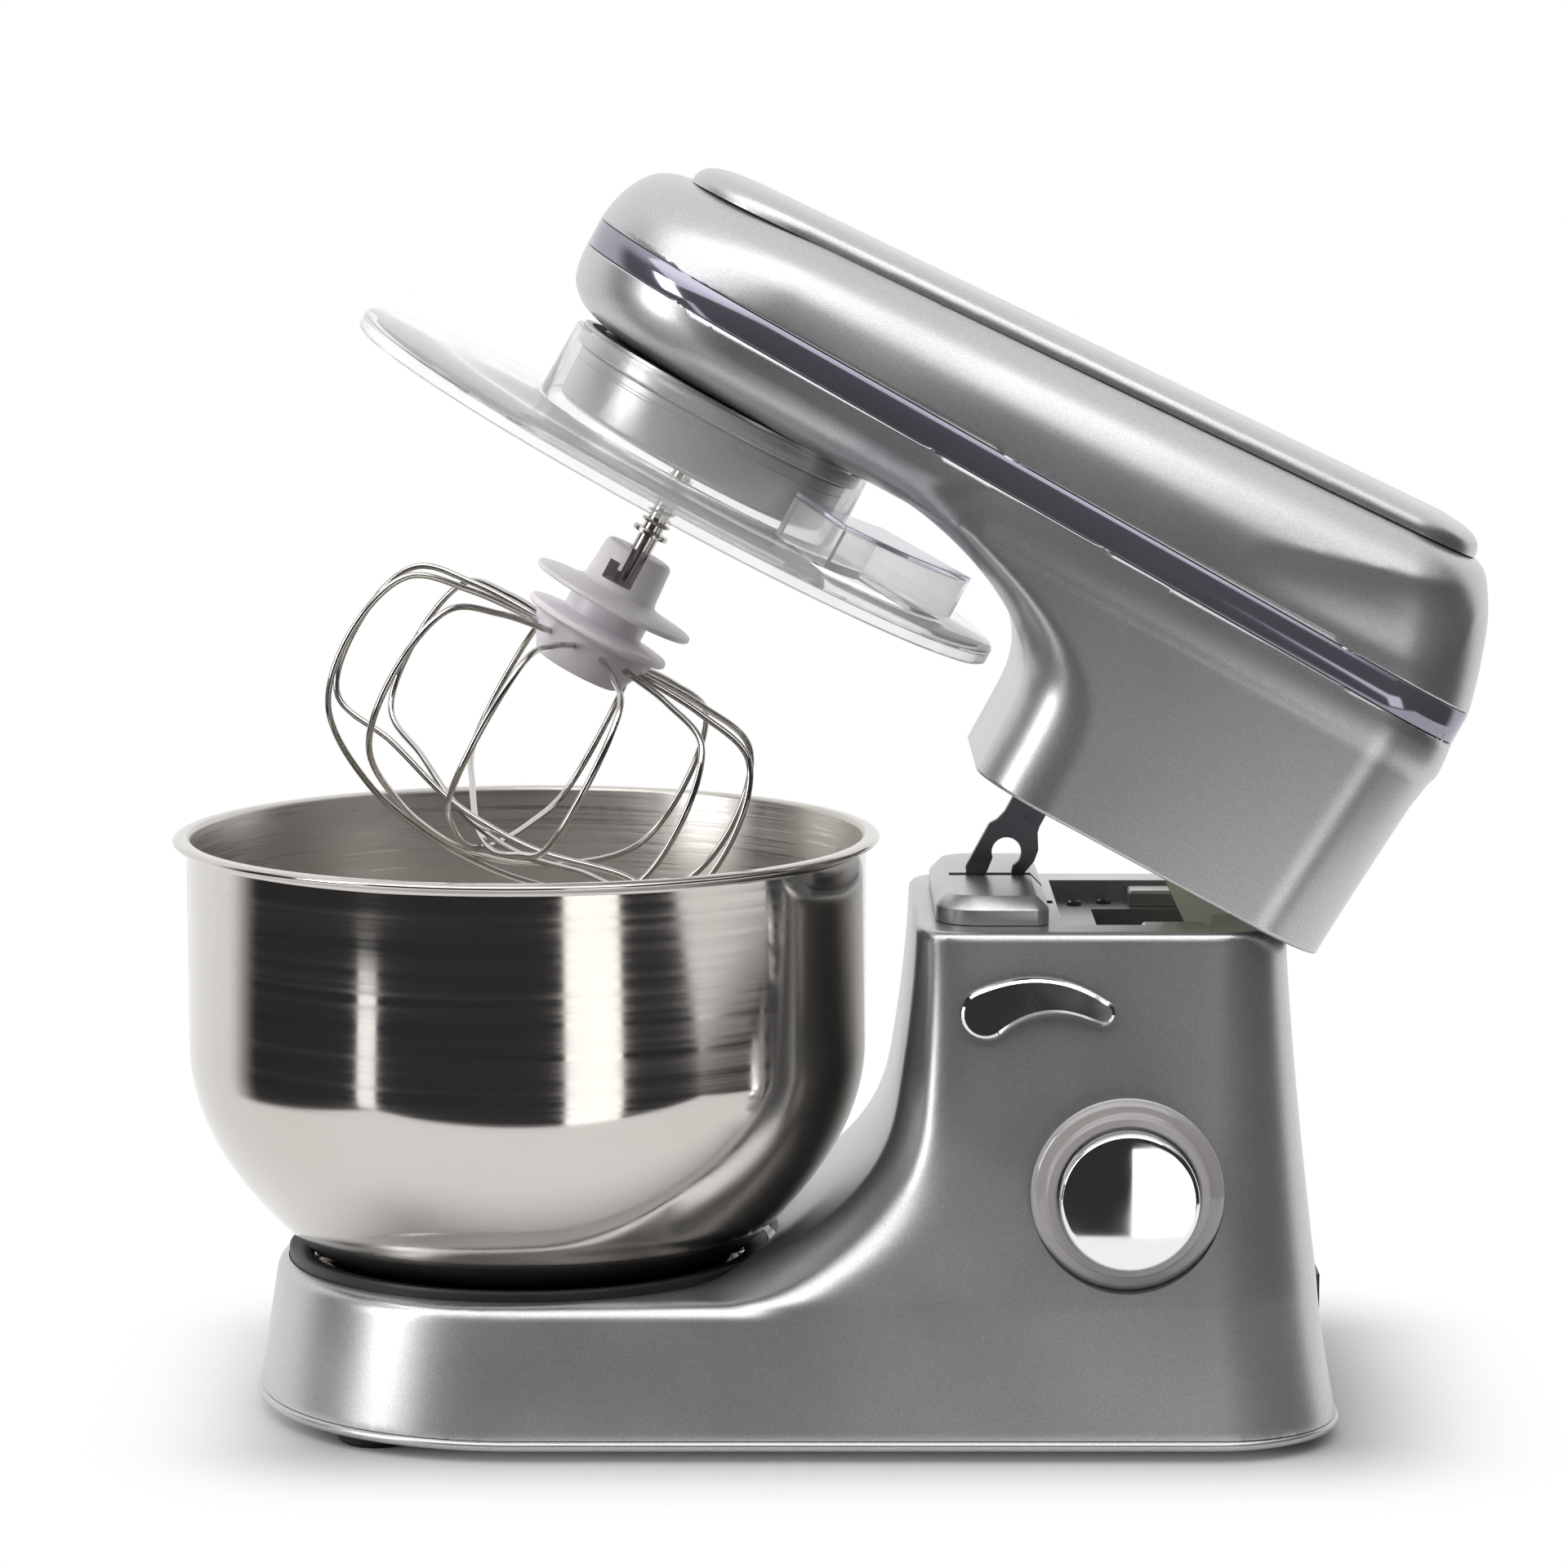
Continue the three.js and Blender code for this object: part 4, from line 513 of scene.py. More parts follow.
for name, finish in {
    "foot_front_near": RUBBER, "foot_front_far": RUBBER, "foot_rear_near": RUBBER, "foot_rear_far": RUBBER,
    "knob_shaft": DARK, "switch_board": BOARD, "board_post_front": WHITE, "board_post_rear": WHITE,
    "lever_shaft": DARK, "latch_bolt": DARK, "hinge_pin": STEEL, "rear_vent": BLACK, "cord_gland": RUBBER,
    "head_bracket": NYLON, "motor_stator": DARK, "motor_rotor": COPPER, "motor_fan": BLACK,
    "motor_pulley": DARK, "drive_pulley": BLACK, "drive_belt": RUBBER, "drive_shaft": STEEL,
    "drive_pinion": STEEL, "carrier_gear": NYLON, "carrier_shaft": STEEL, "gearbox_plate": DARK,
    "ring_gear": DARK, "planet_gear": STEEL,
    "cross_pin": STEEL, "bowl_foot": BOWL_OUT,
}.items():
    node = frame["nodes"][name]
    node.data.materials.clear()
    node.data.materials.append(finish)

# ---------- base ----------

SHELF_TOP = 49
COLUMN_TOP = 163.3
BASE_BOTTOM = 7.3
BASE_FRONT, SHELF_REAR, BASE_REAR, COLUMN_TOP_REAR = -88, 255, 261, 244.7
COLUMN_HALF, SHELF_SPREAD, SKIRT_SPREAD = 64, 24, 8
COLUMN_FRONT, FRONT_SWEEP, FRONT_FOOT = 126, 18, 46
ROOM = 5
SEAT_RADIUS = 79
FLOOR_HEIGHT, WALL_FOOT, RIM_HEIGHT = 46, 118, 186.7
FLOOR_RADIUS, BOWL_RADIUS, BOWL_WALL = 66, 110.8, 1.2
LATCH_HALF = 50


def rise_at(z):
    """Share of the way from the shelf's top to the column's top."""
    return np.clip((z - SHELF_TOP) / (COLUMN_TOP - SHELF_TOP), 0, 1)


def skirt_at(z):
    """Share of the way from the lower edge to the shelf's top."""
    return np.clip((z - BASE_BOTTOM) / (SHELF_TOP - BASE_BOTTOM), 0, 1)


def side_at(z):
    """Half width of the housing at a height."""
    return COLUMN_HALF + SHELF_SPREAD * (1 - rise_at(z)) ** 1.25 + SKIRT_SPREAD * (1 - skirt_at(z))


def rear_at(z):
    """Rear of the housing at a height."""
    spread = (SHELF_REAR - COLUMN_TOP_REAR) * (1 - rise_at(z)) ** 1.3
    return COLUMN_TOP_REAR + spread + 6 * (1 - skirt_at(z)) ** 1.4


def bowl_radius(z):
    """Outer radius of the bowl, a parabola from its floor to its upright wall."""
    share = np.clip((z - FLOOR_HEIGHT) / (WALL_FOOT - FLOOR_HEIGHT), 0, 1)
    return FLOOR_RADIUS + (BOWL_RADIUS - FLOOR_RADIUS) * (1 - (1 - share) ** 2)


def housing(x, y, z):
    """The housing: one plan that steps down from a column to a shelf through a fillet, less the bowl's room.

    The column's front leans back as a power of the height above the shelf. The bowl's room follows the bowl's
    wall, a set clearance away.
    """
    low = 1 - rise_at(z)
    half = side_at(z)
    nose = BASE_FRONT + 6 * skirt_at(z)
    plan = rounded_plan(x, y, nose, rear_at(z), half, np.minimum(87.5, half - 0.5), 26 + 14 * low)
    foot = np.maximum(0, 1 - rise_at(z) / 0.52)
    front = COLUMN_FRONT - FRONT_SWEEP * low ** 1.6 - FRONT_FOOT * foot ** 2.6
    column = rounded_plan(x, y, front, BASE_REAR + 20, half + 6, 22 + 20 * low, 20)
    whole = blend_max(plan, blend_min(z - SHELF_TOP, column, 9), 6)
    reach = np.maximum(bowl_radius(z) + ROOM, SEAT_RADIUS + 3)
    room = np.maximum(np.hypot(x, y) - reach, SHELF_TOP + 0.02 - z)
    whole = blend_max(whole, -room, 5)
    return blend_max(whole, z - COLUMN_TOP, 2.5)


def make_housing():
    """The base and column, with its openings cut."""
    points, faces = surface(housing, (-92, -99, 1), (266, 99, 168), 2.0)
    points, faces = sliced(points, faces, [((0, 0, BASE_BOTTOM), (0, 0, -1))], True)
    body = piece("base_skin", points, faces, "base", SILVER, ["base_housing"], "silver_plastic")
    cut(body, *turned([(0, 40), (SEAT_RADIUS + 0.3, 40), (SEAT_RADIUS + 0.3, 90), (0, 90)], (0, 0)))
    cut(body, *block((173, -47, 156.8), (222, 47, 180)))
    cut(body, *block((186, -26, 133), (241.7, 26, 180)))
    cut(body, *block((138, -3, 120), (172, 3, 180)))
    c, s = math.cos(TILT), math.sin(TILT)
    corner = np.array([PIVOT_X + 0.5, PIVOT_Z + 12.9 / c - 0.6])
    bevel = corner + np.array([(0, 0), (120, 0), (120, 40), (0, 40)]) @ [(c, -s), (s, c)]
    cut(body, *prism(bevel, -110, 110))
    knob = KNOB_AXIS[0] - BOWL_X, KNOB_AXIS[2]
    cut(body, *turned_y([(0, 78.9), (30.8, 78.9), (30.8, 130), (0, 130)], knob))
    cut(body, *block((BASE_REAR - 12, -22, 24), (BASE_REAR + 10, 22, 44)))
    smooth(body, 40)


def make_seat():
    """Black ring that the bowl stands in."""
    profile = [(20, 40.3), (79, 40.3), (79, 50.2), (78.4, 51), (77.4, 51), (73.6, 50.4), (72.2, 49.6),
               (72.2, 43.3), (20, 43.3)]
    piece("bowl_seat_ring", *turned(profile, (0, 0)), "base", BLACK, ["bowl_seat"], "black_plastic")


def make_plate():
    """Bottom plate, a little proud of the housing all round."""
    def edge(draw, z):
        """The plate's outline, drawn in, at a height."""
        return plan_ring(-89 + draw, 262 - draw, 97 - draw, 88 - draw, 43 - draw, z, 24)

    plate = stacked([edge(0.8, 4), edge(0, 4.8), edge(0, 6.2), edge(0.8, 7)])
    piece("bottom_plate_skin", *plate, "base", SILVER, ["bottom_plate"], "silver_plastic", crease=50)


def make_recess():
    """In the recess behind the latch: a stop with rounded edges on each side, and two screws by each."""
    floor, top = 156.9, 162
    front, rear = 199, 219
    screw = np.array([(0, 0), (2.4, 0), (2.3, 0.9), (1.5, 1.4), (1.2, 1.1), (0, 1)]) + [0, floor]
    for name, side in (("near", -1), ("far", 1)):
        low, high = sorted((side * 31.5, side * 44))

        def edge(draw, z):
            """The stop's outline, drawn in, at a height."""
            a, b, c, d = front + draw, rear - draw, low + draw, high - draw
            return level([(a, c), (b, c), (b, d), (a, d)], z)

        stop = stacked([edge(0, floor), edge(0, top - 0.8), edge(0.8, top)])
        piece(f"recess_stop_{name}", *stop, "base", SILVER, (), "silver_plastic", placed, 30, 0.3)
        for number, x in enumerate((181, 191)):
            head = turned(screw, (x, side * (35 + 4 * number)), 32)
            piece(f"recess_screw_{name}_{number + 1}", *head, "base", DARK, (), "dark_steel", placed, 30)


def make_latch_cover():
    """Bevelled cover over the latch, with the hook's slot."""
    low, high = (np.array(c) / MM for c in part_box("latch_cover"))
    front, rear, foot, top = low[0] - BOWL_X, high[0] - BOWL_X, low[2], high[2]

    def edge(draw, z):
        """The cover's outline, drawn in, at a height."""
        return plan_ring(front + draw, rear - draw, LATCH_HALF - draw, 14 - draw, max(0.6, 5 - draw), z, 8)

    bevel = [edge(0, top - 4.2), edge(0.4, top - 3.6), edge(3.4, top - 0.5), edge(4, top)]
    lid = stacked([edge(0, foot)] + bevel)
    cover = piece("latch_cover_skin", *lid, "base", SILVER, ["latch_cover"], "silver_plastic", crease=30)
    cut(cover, *block((138, -3, 150), (rear + 3, 3, 190)))
    smooth(cover, 30)


# ---------- bowl ----------


def make_bowl():
    """The bowl: a parabola and an upright wall, with a lip rolled to half an ellipse, and brushed inside."""
    rim, radius, wall = RIM_HEIGHT, BOWL_RADIUS, BOWL_WALL
    z = np.linspace(FLOOR_HEIGHT, WALL_FOOT, 40)
    outer = np.stack([bowl_radius(z), z], 1)
    lift = wall * (WALL_FOOT - z) / (WALL_FOOT - FLOOR_HEIGHT)
    inner = np.stack([bowl_radius(z) - wall, z + lift], 1)[::-1]
    a = np.linspace(0, math.pi, 12)
    lip = np.stack([radius + 2.2 + 2.3 * np.sin(a), rim - 1.4 - 1.3 * np.cos(a)], 1)
    profile = np.concatenate([
        [(0, FLOOR_HEIGHT), (60, FLOOR_HEIGHT)], outer,
        [(radius, rim - 4.5), (radius + 0.4, rim - 3.2)], lip,
        [(radius, rim - 0.1), (radius - 0.8, rim - 0.5), (radius - wall, rim - 1.6)], inner,
        [(58, FLOOR_HEIGHT + wall), (0, FLOOR_HEIGHT + wall)]])
    bowl = turned(profile, (0, 0), 256)
    bowl = piece("bowl_shell", *bowl, "bowl_body", BOWL_OUT, ["bowl"], "steel", crease=60)
    bowl.data.materials.append(BOWL_IN)
    faces = bowl.data.polygons
    normal, middle = np.empty((2, 3 * len(faces)), np.float32)
    faces.foreach_get("normal", normal)
    faces.foreach_get("center", middle)
    normal, middle = normal.reshape(-1, 3), middle.reshape(-1, 3) - placed([(0, 0, 0)])
    outwards = (normal[:, :2] * middle[:, :2]).sum(1)
    inside = (outwards < 0) | ((normal[:, 2] > 0.8) & (middle[:, 2] < 60 * MM))
    faces.foreach_set("material_index", inside.astype(np.int32))


# ---------- controls ----------


def lever_outline(grow=0.0, steps=14):
    """Comma with a round head and a curved tail: arcs c + r (cos a, sin a) joined by two parabolas."""
    x, z = LEVER_AXIS[0] - BOWL_X, LEVER_AXIS[2]
    head, tail, length = 8 + grow, 4 + grow, 41
    tail_x, tail_z = x + length - 4, z + 0.5

    def bend(start, middle, end):
        """Inner points of a parabola: (1 - t)^2 start + 2 t (1 - t) middle + t^2 end."""
        t = np.linspace(0, 1, steps)[1:-1, None]
        return (1 - t) ** 2 * start + 2 * t * (1 - t) * np.array(middle) + t * t * np.array(end)

    first = arc((x, z), head, math.pi * 0.62, math.pi * 1.72, steps)
    second = arc((tail_x, tail_z), tail, -math.pi * 0.5, math.pi * 0.42, steps)
    under = bend(first[-1], (x + length * 0.45, z + 5.5 - grow), (tail_x - 1, second[0][1]))
    over = bend(second[-1], (x + length * 0.48, z + 17 + grow), first[0])
    return np.concatenate([first, under, second, over])


def make_lever():
    """Chrome release lever with a bevelled edge."""
    low, high = (np.array(c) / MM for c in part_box("release_lever"))
    edges = (0, high[1]), (0, low[1] + 1.3), (-0.35, low[1] + 0.5), (-1.2, low[1])
    grip = stacked([upright(lever_outline(grow), y) for grow, y in edges])
    piece("lever_chrome", *grip, "lever", CHROME, ["release_lever"], "chrome", crease=20)


def make_knob():
    """Chrome knob and the stepped ring round it."""
    centre = KNOB_AXIS[0] - BOWL_X, KNOB_AXIS[2]
    low, high = (np.array(c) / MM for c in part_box("speed_knob"))
    back, front = -high[1], -low[1]
    radius, round_off = 22, 1.8
    edge = arc((radius - round_off, front - 2.6), round_off, 0, math.pi / 2, 8)
    r = np.linspace(19.6, 0, 14)
    dome = np.stack([r, front - 0.8 * (r / 20.2) ** 2], 1)
    knob = turned_y(np.concatenate([[(0, back), (radius, back)], edge, dome]), centre)
    piece("knob_chrome", *knob, "knob", CHROME, ["speed_knob"], "chrome")
    steps = np.array([(22.6, 0), (30.5, 0), (30.5, 2.2), (30.2, 2.9), (29, 3.9), (28.4, 4.1), (26.6, 4.5),
                      (26.2, 4.8), (25.6, 6.6), (25.2, 7), (23.2, 7), (22.6, 6.4)]) + [0, back]
    piece("knob_ring_skin", *turned_y(steps, centre), "base", RING, ["knob_ring"], "ring_plastic", crease=30)


# ---------- head ----------

HEAD_BOTTOM = COLUMN_TOP - PIVOT_Z + 0.3
UNDERSIDE = 78
NOSE = -294.5
HEAD_REAR = 24
HEAD_HALF = 65
BAND_END, BAND_LOW, BAND_HIGH = 13, 93.3, 103.9
BAND_LOW_FALL, BAND_HIGH_FALL = 0.0229, 0.0167
TOP_RISE = 0.052
COVER_HALF, COVER_HEIGHT = 44, 7
CHUTE_NEAR, CHUTE_FAR, CHUTE_FOOT, CHUTE_TOP = 66, 100, 50.6, 63.6


def band_bottom(x):
    """Lower edge of the trim band, which falls slightly to the rear."""
    return BAND_LOW - BAND_LOW_FALL * (x - BAND_END)


def band_top(x):
    """Upper edge of the trim band."""
    return BAND_HIGH - BAND_HIGH_FALL * (x - BAND_END)


def shell_top(x):
    """Top of the upper shell under the cover, which rises to the rear."""
    return 134.5 + TOP_RISE * (x + 277)


def scoop(x, z):
    """Depth of the hollow above the band at the rear: it opens as a wedge and has a crisp upper edge."""
    along = np.clip((x + 66) / 74, 0, 1)
    low = 107 + 2 * along
    high = 121 + 20 * along
    up = np.clip((z - low) / (high - low), 0, 1)
    return 4.2 * along ** 0.8 * (1 - along ** 8) * 4 * up ** 1.5 * (1 - up)


def head_form(x, y, z):
    """The whole head: a long body with a round nose, joined to an upright neck.

    The body's plan is widest at the trim band and draws in below and above it by curves of the height. The
    neck's front sweeps forward as a power of the height.
    """
    below = np.clip((z - UNDERSIDE) / (band_bottom(x) - UNDERSIDE), 0, 1)
    above = np.clip((z - band_top(x)) / (shell_top(x) - band_top(x)), 0, 1.2)
    lower, upper = [0, 0.22, 0.5, 0.8, 1], [0, 0.2, 0.42, 0.62, 0.8, 0.93, 1.0, 1.2]
    nose = curve(below, lower, [17, 6.5, 1.5, 0.2, 0])
    nose = nose + curve(above, upper, [0, 0.7, 2.1, 4.4, 7.7, 12.1, 18.7, 30])
    side = curve(below, lower, [14, 6.5, 2.4, 0.4, 0])
    side = side + curve(above, upper, [0, 1, 2.6, 5.6, 10.5, 17, 25, 40]) + scoop(x, z)
    tail = curve(above, upper, [0.4, 2.6, 5.6, 8.6, 12.4, 16, 20, 30])
    body = rounded_plan(x, y, NOSE + nose, HEAD_REAR - tail, HEAD_HALF - side, 62 - 0.3 * nose, 30)
    body = blend_max(body, z - shell_top(x), 5)
    body = blend_max(body, UNDERSIDE - z, 5)
    lift = np.clip((z - 30) / (UNDERSIDE + 2 - 30), 0, 1)
    rear = 18 + 5.5 * np.clip((z - HEAD_BOTTOM) / 85, 0, 1) ** 1.2
    neck = rounded_plan(x, y, -106 - 60 * lift ** 3.2, rear, HEAD_HALF - 0.3, 24, 26)
    fade = np.clip((band_bottom(x) - 1 - z) / 12, 0, 1)
    neck = np.maximum(neck, z - band_bottom(x) + 1)
    return blend_min(body, neck, 0.5 + 9.5 * fade)


def shell(name, points, faces, material, node, slot, thickness=2.4):
    """A moulded shell: the outer surface thickened inwards."""
    obj = piece(name, points, faces, "head", material, [node], slot, tilted)
    wall = obj.modifiers.new("wall", "SOLIDIFY")
    wall.thickness = thickness * MM
    wall.offset = -1


def make_head():
    """Lower and upper shell, one form parted by the trim band's sloping edges."""
    points, faces = surface(head_form, (-299, -69, 4), (29, 69, 158), 2.0)
    foot = (0, 0, HEAD_BOTTOM), (0, 0, -1)
    below_band = (0, 0, band_bottom(0) - 0.3), (BAND_LOW_FALL, 0, 1)
    above_band = (0, 0, band_top(0) + 0.3), (-BAND_HIGH_FALL, 0, -1)
    lower = sliced(points, faces, [foot, below_band])
    shell("head_lower_skin", *lower, SILVER, "head_lower_shell", "silver_plastic")
    upper = sliced(points, faces, [above_band])
    shell("head_upper_skin", *upper, SILVER, "head_upper_shell", "silver_plastic")


def make_band():
    """Mirror trim band: the head's plan drawn up between two sloping edges, with small bevels."""
    def edge(draw, height, lift=0.0):
        """The head's outline, drawn in, along one of the sloping edges."""
        front, rear, half = NOSE + draw, HEAD_REAR - 0.4 - draw, HEAD_HALF - draw
        return plan_ring(front, rear, half, 62 - draw, 30 - draw, lambda x: height(x) + lift, 48)

    low, high = band_bottom, band_top
    outside = [edge(0.3, low), edge(0, low, 0.3), edge(0, high, -0.3), edge(0.3, high)]
    band = hoop(outside + [edge(2.2, high), edge(2.2, low)])
    piece("trim_band_skin", *band, "head", BAND, ["trim_band"], "mirror_band", tilted, 50)


def cover_form(x, y, z):
    """The cover: a long plan that draws in with the height, and a top crowned by a parabola across."""
    base = shell_top(x) + 0.3
    lift = np.clip((z - base) / COVER_HEIGHT, 0, 1.3)
    draw = curve(lift, [0, 0.3, 0.6, 0.85, 1.0, 1.3], [0, 0.7, 2.6, 6.5, 13, 30])
    front, rear = NOSE + 20 + draw, HEAD_REAR - 21 - draw * 0.7
    plan = rounded_plan(x, y, front, rear, COVER_HALF - draw, 38 - 0.6 * draw, 24)
    crown = base + COVER_HEIGHT - 1.2 * (y / COVER_HALF) ** 2 - z
    return blend_max(plan, -crown, 4)


def make_cover():
    """Top cover, let into the upper shell so that only a thin joint shows."""
    points, faces = surface(cover_form, (-278, -47, 120), (8, 47, 164), 1.6)
    foot = (0, 0, shell_top(0) - 1.2), (TOP_RISE, 0, -1)
    points, faces = sliced(points, faces, [foot], True)
    piece("top_cover_skin", points, faces, "head", SILVER, ["top_cover"], "silver_plastic", tilted, 45)


# ---------- planetary drive, guard and whisk ----------


def make_drum():
    """Silver drum under the head, with a rounded lower edge."""
    radius, round_off, bottom = 48.5, 2.5, 52
    edge = arc((radius - round_off, bottom + round_off), round_off, -math.pi / 2, 0, 8)
    groove = [(radius, 66.4), (radius - 0.4, 66.8), (radius - 0.4, 67.4), (radius, 67.8)]
    dish = [(0, bottom + 1.5), (30, bottom + 1.2), (33, bottom)]
    drum = turned(np.concatenate([dish, edge, groove, [(radius, 70), (0, 70)]]), (AXIS_X, 0))
    drum = piece("drum_skin", *drum, "carrier", SILVER, ["planet_carrier"], "silver_plastic", tilted)
    cut(drum, *turned([(0, 40), (4, 40), (4, 80), (0, 80)], (AXIS_X, ORBIT), 32), tilted)
    smooth(drum)


def make_mount():
    """Ring on the head's underside that the guard's collar clips on, with a bead round it."""
    low, high, inner, outer = 71, UNDERSIDE - 0.3, 48.9, 51.2
    bead = [(outer, low + 2), (outer + 0.25, low + 2.8), (outer, low + 3.6)]
    profile = [(inner, low), (outer - 0.6, low), (outer, low + 0.6)] + bead + [(outer, high), (inner, high)]
    ring = turned(profile, (AXIS_X, 0))
    piece("guard_mount_ring", *ring, "head", SILVER, ["guard_mount"], "silver_plastic", tilted)


def make_guard():
    """Clear guard: a shallow cone with a turned-down rim and an upright collar."""
    top = UNDERSIDE - 1.5
    underside = [(52, 48.5), (56, 47.6), (85, 46.6), (111.6, 45.6)]
    rim = [(112, 45.2), (112, 42.4), (112.6, 42), (114.4, 42), (115, 42.6), (115, 46.6), (114.2, 47.8),
           (113, 48.4)]
    upside = [(85, 49.4), (56, 50.4), (54.6, 51), (54, 52.4)]
    collar = [(53.4, top - 0.5), (52.9, top), (52, top), (51.4, top - 0.5)]
    guard = turned(underside + rim + upside + collar, (AXIS_X, 0), 200)
    guard = piece("guard_clear", *guard, "guard", CLEAR, ["splash_guard"], "clear", tilted, 30)
    cut(guard, *chute(2, 36, 66), tilted)
    smooth(guard, 30)


def chute(inset, low, high, steps=20):
    """Plan of the chute: a sector of a ring beside the collar."""
    half, middle = math.radians(22), math.radians(-38)
    near, far = CHUTE_NEAR + inset, CHUTE_FAR - inset
    near_half, far_half = half - inset / near, half - inset / far
    ring = np.concatenate([
        arc((AXIS_X, 0), far, middle - far_half, middle + far_half, steps),
        arc((AXIS_X, 0), near, middle + near_half, middle - near_half, steps)])
    return stacked([level(ring, z) for z in (low, high)])


def make_chute():
    """Clear walls of the chute and its tinted flap."""
    walls = chute(0, CHUTE_FOOT, CHUTE_TOP)
    walls = piece("chute_clear", *walls, "guard", CLEAR, ["guard_chute"], "clear", tilted, 30)
    cut(walls, *chute(2, 40, 80), tilted)
    smooth(walls, 30)
    lid = chute(0, CHUTE_TOP + 0.3, CHUTE_TOP + 1.9)
    piece("flap_violet", *lid, "flap", VIOLET, ["chute_flap"], "violet_clear", tilted, 30, 0.4)


def make_shaft():
    """Output shaft with its washer, collar and spring: a coil c + r (cos a, sin a) that climbs with a."""
    washer = [(3.4, 24.5), (6, 24.7), (6.2, 25.5), (6, 26.3), (3.4, 26.5)]
    collar = [(3.4, 28.6), (4.8, 28.8), (5, 29.3), (4.8, 29.8), (3.4, 30)]
    tip, head = [(0, -2), (2.6, -2), (3.4, -1)], [(3.4, 78), (0, 78)]
    shaft = turned(tip + washer + collar + head, (AXIS_X, ORBIT), 64)
    piece("shaft_steel", *shaft, "planet", STEEL, ["output_shaft"], "wire", tilted)
    turns, pitch, coil_foot, radius = 3, 3.2, 31, 4.2
    a = np.linspace(0, turns * 2 * math.pi, 90)
    coil = [AXIS_X + radius * np.cos(a), ORBIT + radius * np.sin(a), coil_foot + a / (2 * math.pi) * pitch]
    piece("shaft_spring", *tube(np.stack(coil, 1), 0.5, 8), "planet", STEEL, (), "wire", tilted)


def make_hub():
    """White whisk hub: bayonet sleeve, two flanges and a tapered cup, with the J-shaped slot."""
    cup = [(0, -26), (14, -26), (15.4, -25.2), (20.8, -15)]
    lower_flange = [(21.4, -13), (24.4, -12.2), (25, -11.6), (25, -10.6), (24.4, -9.8), (15, -8.4)]
    waist = [(14, -7.6), (14, -1.4)]
    upper_flange = [(14.6, -0.8), (27.4, -1), (28, -0.5), (28, 0.6), (27.5, 1), (16, 2.6)]
    sleeve = [(13.2, 3.8), (12.7, 5), (11.8, 17), (11.2, 18.1), (10.4, 18.5), (0, 18.5)]
    hub = turned(cup + lower_flange + waist + upper_flange + sleeve, (AXIS_X, ORBIT), 96)
    hub = piece("hub_white", *hub, "whisk", WHITE, ["whisk_hub"], "white_plastic", tilted)
    cut(hub, *turned([(0, -4), (3.7, -4), (3.7, 30), (0, 30)], (AXIS_X, ORBIT), 40), tilted)
    cut(hub, *turned([(0, 6), (9.2, 6), (8.8, 14.5), (7.6, 15.6), (0, 15.6)], (AXIS_X, ORBIT), 64), tilted)
    slot_foot, slot_end, reach = 6.4, 7.6, 14
    cut(hub, *block((AXIS_X - 2.8, ORBIT - reach, slot_foot), (AXIS_X + 2.8, ORBIT + reach, 30)), tilted)
    for side in (-1, 1):
        low, high = sorted((ORBIT, ORBIT + reach * side))
        for start, top in ((0, 10.8), (4, 13)):
            left, right = sorted((AXIS_X + start * side, AXIS_X + slot_end * side))
            cut(hub, *block((left, low, slot_foot), (right, high, top)), tilted)
    smooth(hub, 40)


def make_wires(count=6, radius=1.1):
    """Wires of the whisk: nested loops in upright planes through the hub's axis."""
    for number in range(count):
        turn = math.pi / count * (number + 0.5)
        tip = -98 + number * (2 * radius + 0.3)
        half = np.array([(18.1, -17), (44, -18), (65, -23), (73, -46), (68, -73), (44, tip + 8),
                         (18, tip + 1.2), (0, tip)])
        across = np.concatenate([half, (half * [-1, 1])[-2::-1]])
        control = np.stack([across[:, 0] * math.cos(turn), across[:, 0] * math.sin(turn), across[:, 1]], 1)
        path = centripetal(control, 14) + [AXIS_X, ORBIT, 0]
        wire, node = tube(path, radius, 12), f"whisk_wire_{number + 1}"
        piece(f"wire_{number + 1}", *wire, "whisk", WIRE, [node], "wire", tilted, 80)


def centripetal(control, steps):
    """Centripetal Catmull-Rom curve through points, the ends mirrored.

    Each span blends the straight lines between its four points three times over. The knots are spaced by the
    square root of the points' distance.
    """
    points = np.concatenate([[2 * control[0] - control[1]], control, [2 * control[-1] - control[-2]]])
    path = []
    for a, b, c, d in zip(points, points[1:], points[2:], points[3:]):
        t0 = 0
        t1 = t0 + np.linalg.norm(b - a) ** 0.5
        t2 = t1 + np.linalg.norm(c - b) ** 0.5
        t3 = t2 + np.linalg.norm(d - c) ** 0.5
        t = np.linspace(t1, t2, steps, endpoint=False)[:, None]
        a1 = (t1 - t) / (t1 - t0) * a + (t - t0) / (t1 - t0) * b
        a2 = (t2 - t) / (t2 - t1) * b + (t - t1) / (t2 - t1) * c
        a3 = (t3 - t) / (t3 - t2) * c + (t - t2) / (t3 - t2) * d
        b1 = (t2 - t) / (t2 - t0) * a1 + (t - t0) / (t2 - t0) * a2
        b2 = (t3 - t) / (t3 - t1) * a2 + (t - t1) / (t3 - t1) * a3
        path.append((t2 - t) / (t2 - t1) * b1 + (t - t1) / (t2 - t1) * b2)
    return np.concatenate(path + [control[-1:]])


